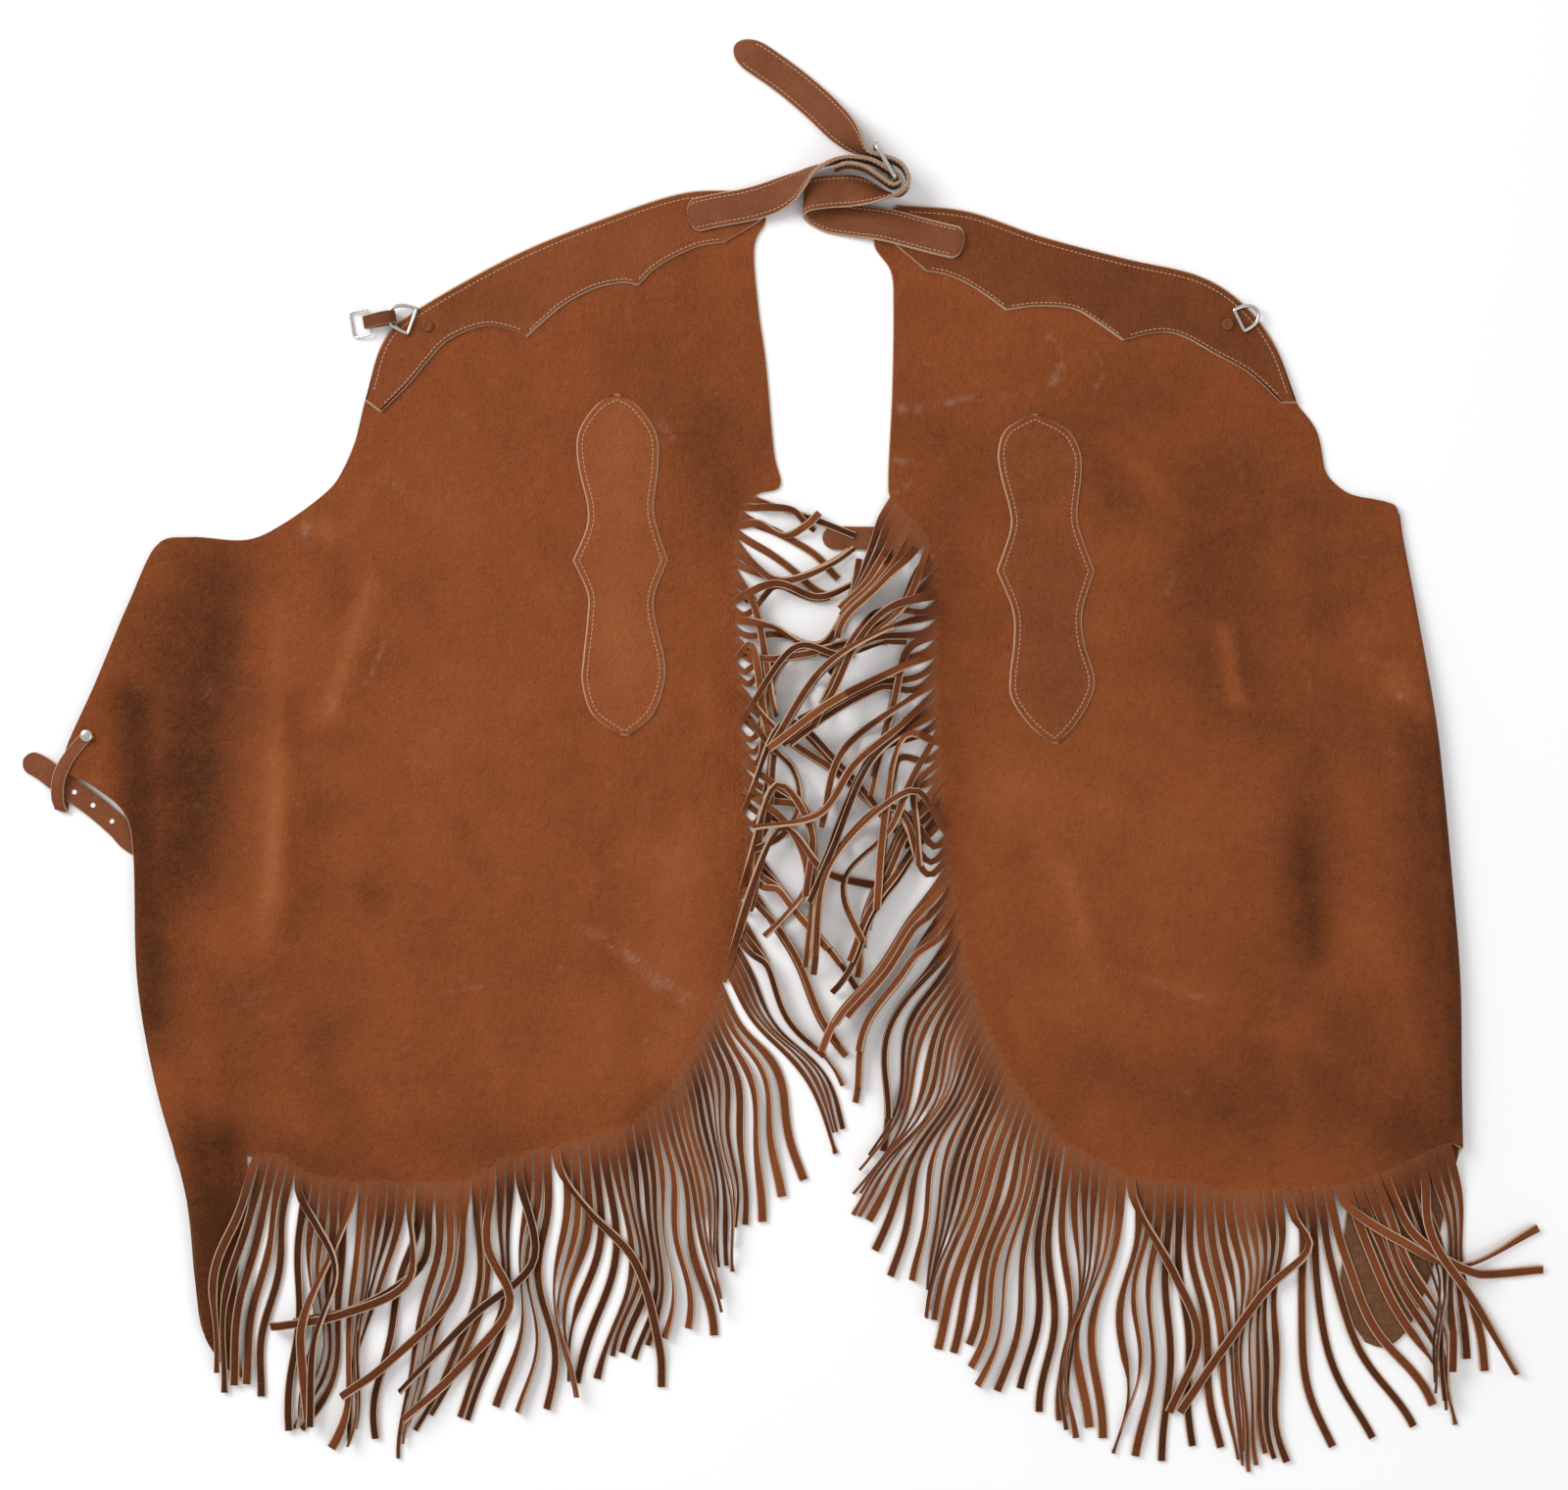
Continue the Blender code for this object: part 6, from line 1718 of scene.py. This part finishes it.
        # Painted shade: the hem's strands are made darker by the dark share; the rest of the spread differs at
        # random.
        dark = self.dark if i > self.INNER * self.STRANDS else 0.0
        tone = (self.dice_free(i, -1.05, 0.45) - dark) * smooth(reach / 40.0)
        # Near the root the strand takes the panel's tone, its painted shading included.
        tone = tone + (self.ROOT_TONE + self.leg.tone(path[:1])[0]) * (1 - smooth(reach / 34.0))
        return loft_shell(rings, kinds, tone)


class Hardware:
    """Nickel and leather-covered fittings."""

    def __init__(self, bench: Workbench, looks: Finishes) -> None:
        """Keeps the bench and the finishes."""
        self.bench = bench
        self.looks = looks

    def wire(self, name: str, path: Array, radius: Array | float, closed: bool,
             sides: int = 16) -> bpy.types.Object:
        """Nickel wire along a path, for the CAD node of that name."""
        rings = wire_rings(path, radius, sides, closed)
        shell = loft_shell(rings, np.zeros(sides, int), closed=closed)
        return self.bench.piece(name.replace("_", " "), shell, [self.looks.nickel], [name], "nickel")

    def ring(self, name: str, start: tuple[float, float], end: tuple[float, float], reach: float,
             z: float) -> bpy.types.Object:
        """D-ring with a straight bar and a round bow.

        The bow is middle + half cos t + out times reach times sin t to the power 0.8.

        Args:
            name: CAD node.
            start: One end of the bar.
            end: Its other end.
            reach: How far the bow stands out.
            z: Height of the wire's middle.

        Returns:
            The ring.
        """
        a, b = np.array(start, float), np.array(end, float)
        middle, half = (a + b) / 2, (a - b) / 2
        out = np.array([half[1], -half[0]]) / np.linalg.norm(half)
        t = np.linspace(0, math.pi, 41)[:, None]
        bow = middle + half * np.cos(t) + out * reach * np.clip(np.sin(t), 0, 1) ** 0.8
        bar = middle + half * np.linspace(-0.9, 0.9, 11)[:, None]
        loop = np.vstack([bow, bar])
        return self.wire(name, np.column_stack([loop, np.full(len(loop), z)]), RING_WIRE, True)

    def rivet(self, name: str, place: tuple[float, float, float], metal: bool) -> bpy.types.Object:
        """Rivet head: domed nickel, or leather-covered with a dimple."""
        if metal:
            profile = [(0, 4.6), (0.5, 4.8), (1.0, 4.75), (1.5, 4.2), (1.85, 3.0), (2.0, 1.5), (2.03, 0.3)]
        else:
            profile = [(0, 4.7), (0.6, 4.8), (1.2, 4.6), (1.75, 3.9), (1.95, 3.0), (1.85, 2.3),
                       (1.35, 1.7), (1.1, 1.2), (1.05, 0.3)]
        look = self.looks.nickel if metal else self.looks.strap
        slot = "nickel" if metal else "strap_leather"
        return self.bench.piece(name.replace("_", " "), turned_shell(place, profile), [look], [name], slot)

    def buckle(self) -> list[bpy.types.Object]:
        """Upright waist buckle: a rounded rectangle of wire and a pointed prong."""
        hinge, front = np.array(BUCKLE_HINGE), np.array(BUCKLE_FRONT)
        low, high = BUCKLE_BOTTOM, BUCKLE_BOTTOM + STRAP_WIDTH + 2 * BUCKLE_WIRE + 2.0
        run = (front - hinge) / np.linalg.norm(front - hinge)
        long, ease = np.linalg.norm(front - hinge), 3.2
        t = np.linspace(0, math.pi / 2, 8)
        corner = np.stack([np.cos(t), np.sin(t)], axis=1)
        parts = []
        for k, (x, z) in enumerate(((long, high), (0, high), (0, low), (long, low))):
            c, s = (1, 0, -1, 0)[k], (0, 1, 0, -1)[k]
            arc = np.stack([corner[:, 0] * c - corner[:, 1] * s, corner[:, 0] * s + corner[:, 1] * c], 1)
            middle = np.array([x - ease * (1 if x else -1), z - ease * (1 if z == high else -1)])
            parts.append(middle + arc * ease)
        flat = even(np.vstack([*parts, parts[0][:1]]), 97)[:-1]
        path = np.column_stack([hinge + run * flat[:, :1], flat[:, 1]])
        side = np.array([run[1], -run[0]])
        reach = BUCKLE_WIRE + 1.1 + GAP
        root = hinge + side * reach + run * 0.5
        tip = front + side * (reach + 0.2) + run * PRONG_REACH
        share = np.linspace(0, 1, 20)
        prong = np.column_stack([root + (tip - root) * share[:, None], np.full(20, (low + high) / 2)])
        thin = np.interp(share, [0, 0.75, 0.93, 1.0], [1.1, 1.1, 0.85, 0.35])
        return [self.wire("waist_buckle_frame", path, BUCKLE_WIRE, True),
                self.wire("waist_buckle_prong", prong, thin, False)]

    def hip_strap(self, thread: Stitching) -> list[bpy.types.Object]:
        """Short strap looped through the left hip ring, and its small buckle."""
        turn = math.radians(HIP_STRAP_HEADING)
        away = np.array([math.cos(turn), math.sin(turn)])
        across = np.array([-away[1], away[0], 0.0])
        start = np.array(HIP_STRAP_START, float)
        loop = spline([*HIP_STRAP_PATH, HIP_STRAP_PATH[0]], 121)[:-1]
        path = np.column_stack([start + away * loop[:, :1], loop[:, 1]])
        run = np.roll(path, -1, axis=0) - np.roll(path, 1, axis=0)
        run /= np.linalg.norm(run, axis=1, keepdims=True)
        normal = np.cross(run, across)
        half, tall = HIP_STRAP_WIDTH / 2, HIP_STRAP_THICK / 2
        spots = ((-0.93, 1), (0.93, 1), (1, 0.5), (1, -0.5), (0.93, -1), (-0.93, -1), (-1, -0.5), (-1, 0.5))
        rings = np.stack([path + across * a * half + normal * b * tall for a, b in spots], axis=1)
        band = loft_shell(rings, BAND_KINDS, -0.5, closed=True)
        strap = self.bench.piece("hip strap", band, self.looks.hide(self.looks.strap), ["hip_strap"],
                                 "strap_leather")
        near, far, side = (17.3, 5.0), (31.0, 1.6), SMALL_BUCKLE_WIDTH / 2
        t = np.linspace(0, 2 * math.pi, 64, endpoint=False)
        along = np.sign(np.cos(t)) * np.abs(np.cos(t)) ** 0.25
        wide = np.sign(np.sin(t)) * np.abs(np.sin(t)) ** 0.25
        s = (near[0] + far[0]) / 2 + along * (far[0] - near[0]) / 2
        z = np.interp(s, [near[0], far[0]], [near[1], far[1]])
        plan = start + away * s[:, None] + across[:2] * (wide * side)[:, None]
        loop = even(np.vstack([np.column_stack([plan, z]), [[*plan[0], z[0]]]]), 81)[:-1]
        return [strap, self.wire("hip_strap_buckle", loop, SMALL_BUCKLE_WIRE, True, 12)]

    def holes(self, name: str, places: Rows, finish: bpy.types.Material) -> bpy.types.Object:
        """Holes as discs just proud of the leather.

        Args:
            name: Name of the piece.
            places: Rows of x, y, z and radius.
            finish: What they are coloured with: painted shade, or the floor's colour.

        Returns:
            The discs as one piece.
        """
        shells = [turned_shell((x, y, z), [(-0.3, r), (0.05, r), (0.07, r * 0.8)], 20)
                  for x, y, z, r in places]
        return self.bench.piece(name, Shell.joined(shells), [finish], [], "strap_leather")


class Studio:
    """Pale floor, soft light and a camera that looks straight down."""

    HEIGHT = 3.0
    LENS = 90.0
    MIDDLE = (0.0015, 0.0049)

    def build(self, bench: Workbench) -> None:
        """Makes the floor, the light and the camera."""
        mesh = bpy.data.meshes.new("floor")
        mesh.from_pydata([(-6, -6, -0.0003), (6, -6, -0.0003), (6, 6, -0.0003), (-6, 6, -0.0003)], [],
                         [(0, 1, 2, 3)])
        mesh.materials.append(PlainFinish("floor", (0.93, 0.93, 0.94), 0.9).build())
        floor = bpy.data.objects.new("floor", mesh)
        bpy.context.scene.collection.objects.link(floor)
        world = bpy.data.worlds.new("studio")
        world.use_nodes = True
        world.node_tree.nodes["Background"].inputs["Color"].default_value = (1.0, 1.0, 1.0, 1.0)
        world.node_tree.nodes["Background"].inputs["Strength"].default_value = 0.64
        bpy.context.scene.world = world
        bpy.context.scene.view_settings.view_transform = "Standard"
        for name, place, size, power in (
            ("key", (-2.1, 1.5, 2.2), 1.8, 76.0),
            ("fill", (1.9, -1.2, 2.8), 2.2, 18.0),
        ):
            light = bpy.data.lights.new(name, "AREA")
            light.size = size
            light.energy = power
            made = bpy.data.objects.new(name, light)
            made.location = place
            aim = -np.array(place)
            made.rotation_euler = (
                math.atan2(math.hypot(aim[0], aim[1]), -aim[2]), 0.0,
                math.atan2(aim[1], aim[0]) - math.pi / 2)
            bpy.context.scene.collection.objects.link(made)
        camera = bpy.data.cameras.new("camera")
        camera.lens = self.LENS
        camera.sensor_width = 36.0
        made = bpy.data.objects.new("camera", camera)
        made.location = (self.MIDDLE[0] + bench.shift[0] * MM, self.MIDDLE[1] + bench.shift[1] * MM,
                         self.HEIGHT)
        bpy.context.scene.collection.objects.link(made)
        bpy.context.scene.camera = made


class Chaps:
    """The whole garment, built in the order in which its pieces lie on each other."""

    def __init__(self) -> None:
        """Prepares the bench, the finishes and both legs."""
        self.bench = Workbench()
        self.looks = Finishes()
        self.ground = Ground()
        self.thread = Stitching()
        self.left = Leg(Side.LEFT, LEFT_TOP, LEFT_INNER, LEFT_HEM, LEFT_OUTER, (-478, 157), LEFT_FRINGE_START,
                        LEFT_FRINGE_END, LEFT_RIDGES, LEFT_CREASES, LEFT_TONES_AND_SHADING, LEFT_RUBS_AND_SHEEN)
        self.right = Leg(Side.RIGHT, RIGHT_TOP, RIGHT_INNER, RIGHT_HEM, RIGHT_OUTER, (470, 186),
                         RIGHT_FRINGE_START, RIGHT_FRINGE_END, RIGHT_RIDGES, RIGHT_CREASES, RIGHT_TONES_AND_SHADING,
                         RIGHT_RUBS_AND_SHEEN)

    def build(self) -> None:
        bench, looks, ground, thread = self.bench, self.looks, self.ground, self.thread
        panels = {leg.side: leg.build(bench, looks, ground) for leg in (self.left, self.right)}
        yokes = {Side.LEFT: Yoke(self.left, LEFT_YOKE_EDGE, LEFT_YOKE_TONES_AND_SHADING).build(bench, looks, thread),
                 Side.RIGHT: Yoke(self.right, RIGHT_YOKE_EDGE, RIGHT_YOKE_TONES_AND_SHADING).build(bench, looks, thread)}
        patches = {Side.LEFT: ThighPatch(self.left, LEFT_PATCH, LEFT_PATCH_TONES_AND_SHADING).build(bench, looks, thread),
                   Side.RIGHT: ThighPatch(self.right, RIGHT_PATCH,
                                          RIGHT_PATCH_TONES_AND_SHADING).build(bench, looks, thread)}
        left_waist = Strap.waist("left_waist_strap", LEFT_WAIST, 300, 8.0, 0.0, (0.02, 0.98))
        right_waist = Strap.waist("right_waist_strap", RIGHT_WAIST, 420, 8.0, 20.0, (0.02, 0.97))
        left_waist.build(bench, looks, thread)
        right_waist.build(bench, looks, thread)
        strap_holes: Rows = []
        legs = (("left_leg_strap", LEFT_LEG_STRAP), ("right_leg_strap", RIGHT_LEG_STRAP))
        for name, rows in legs:
            strap = Strap.flat(name, rows, LEG_STRAP_WIDTH + 1.5, LEG_STRAP_THICK, 9.0)
            strap.build(bench, looks, thread)
            ground.lay_band(strap.centres[:, :2], strap.breadth / 2, strap.centres[:, 2] + strap.thick / 2)
            for x in LEG_STRAP_HOLES[name]:
                spot = strap.centres[int(np.argmin(np.abs(strap.centres[:, 0] - x)))]
                strap_holes.append((spot[0], spot[1], spot[2] + strap.thick / 2 + 0.02, 1.8))
        line = spline(KEEPER, 110)
        lean = math.radians(164)
        width = np.tile([math.cos(lean), math.sin(lean), 0.0], (len(line), 1))
        Strap("leg_strap_keeper", line, width, np.full(len(line), KEEPER_WIDTH), KEEPER_THICK).build(
            bench, looks, thread)
        fittings = Hardware(bench, looks)
        top = 2 * LEATHER + GAP
        fittings.rivet("left_hip_rivet", (-271, 325, top + GAP), False)
        fittings.rivet("right_hip_rivet", (340.5, 326, top + GAP), False)
        fittings.rivet("leg_strap_rivet", (*RIVET_PLACE, 13.6), True)
        fittings.ring("right_hip_ring", (345, 337), (353, 321), 16, top + GAP + RING_WIRE)
        fittings.ring("left_hip_ring", (-286, 319), (-279, 338), 19, top + GAP + RING_WIRE)
        fittings.hip_strap(thread)
        fittings.buckle()
        # The punched holes are discs of painted shade.
        fittings.holes("punched holes", HOLES, looks.dark)
        fittings.holes("open holes", strap_holes, looks.pale)
        dice = np.random.default_rng(11)
        fringes = {
            Side.LEFT: Fringe(self.left, LEFT_FRINGE, LEFT_CROSSING + LEFT_CROSSING_MORE, dice,
                              dark=0.3).build(bench, looks, ground),
            Side.RIGHT: Fringe(self.right, RIGHT_FRINGE, RIGHT_CROSSING + RIGHT_CROSSING_MORE, dice, bundle=3,
                               spread=4.4).build(bench, looks, ground),
        }
        thread.build(bench, looks)


def main() -> None:
    """Builds the chaps and the studio round them."""
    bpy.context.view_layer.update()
    chaps = Chaps()
    chaps.build()
    Studio().build(chaps.bench)


if __name__ == "__main__":
    main()
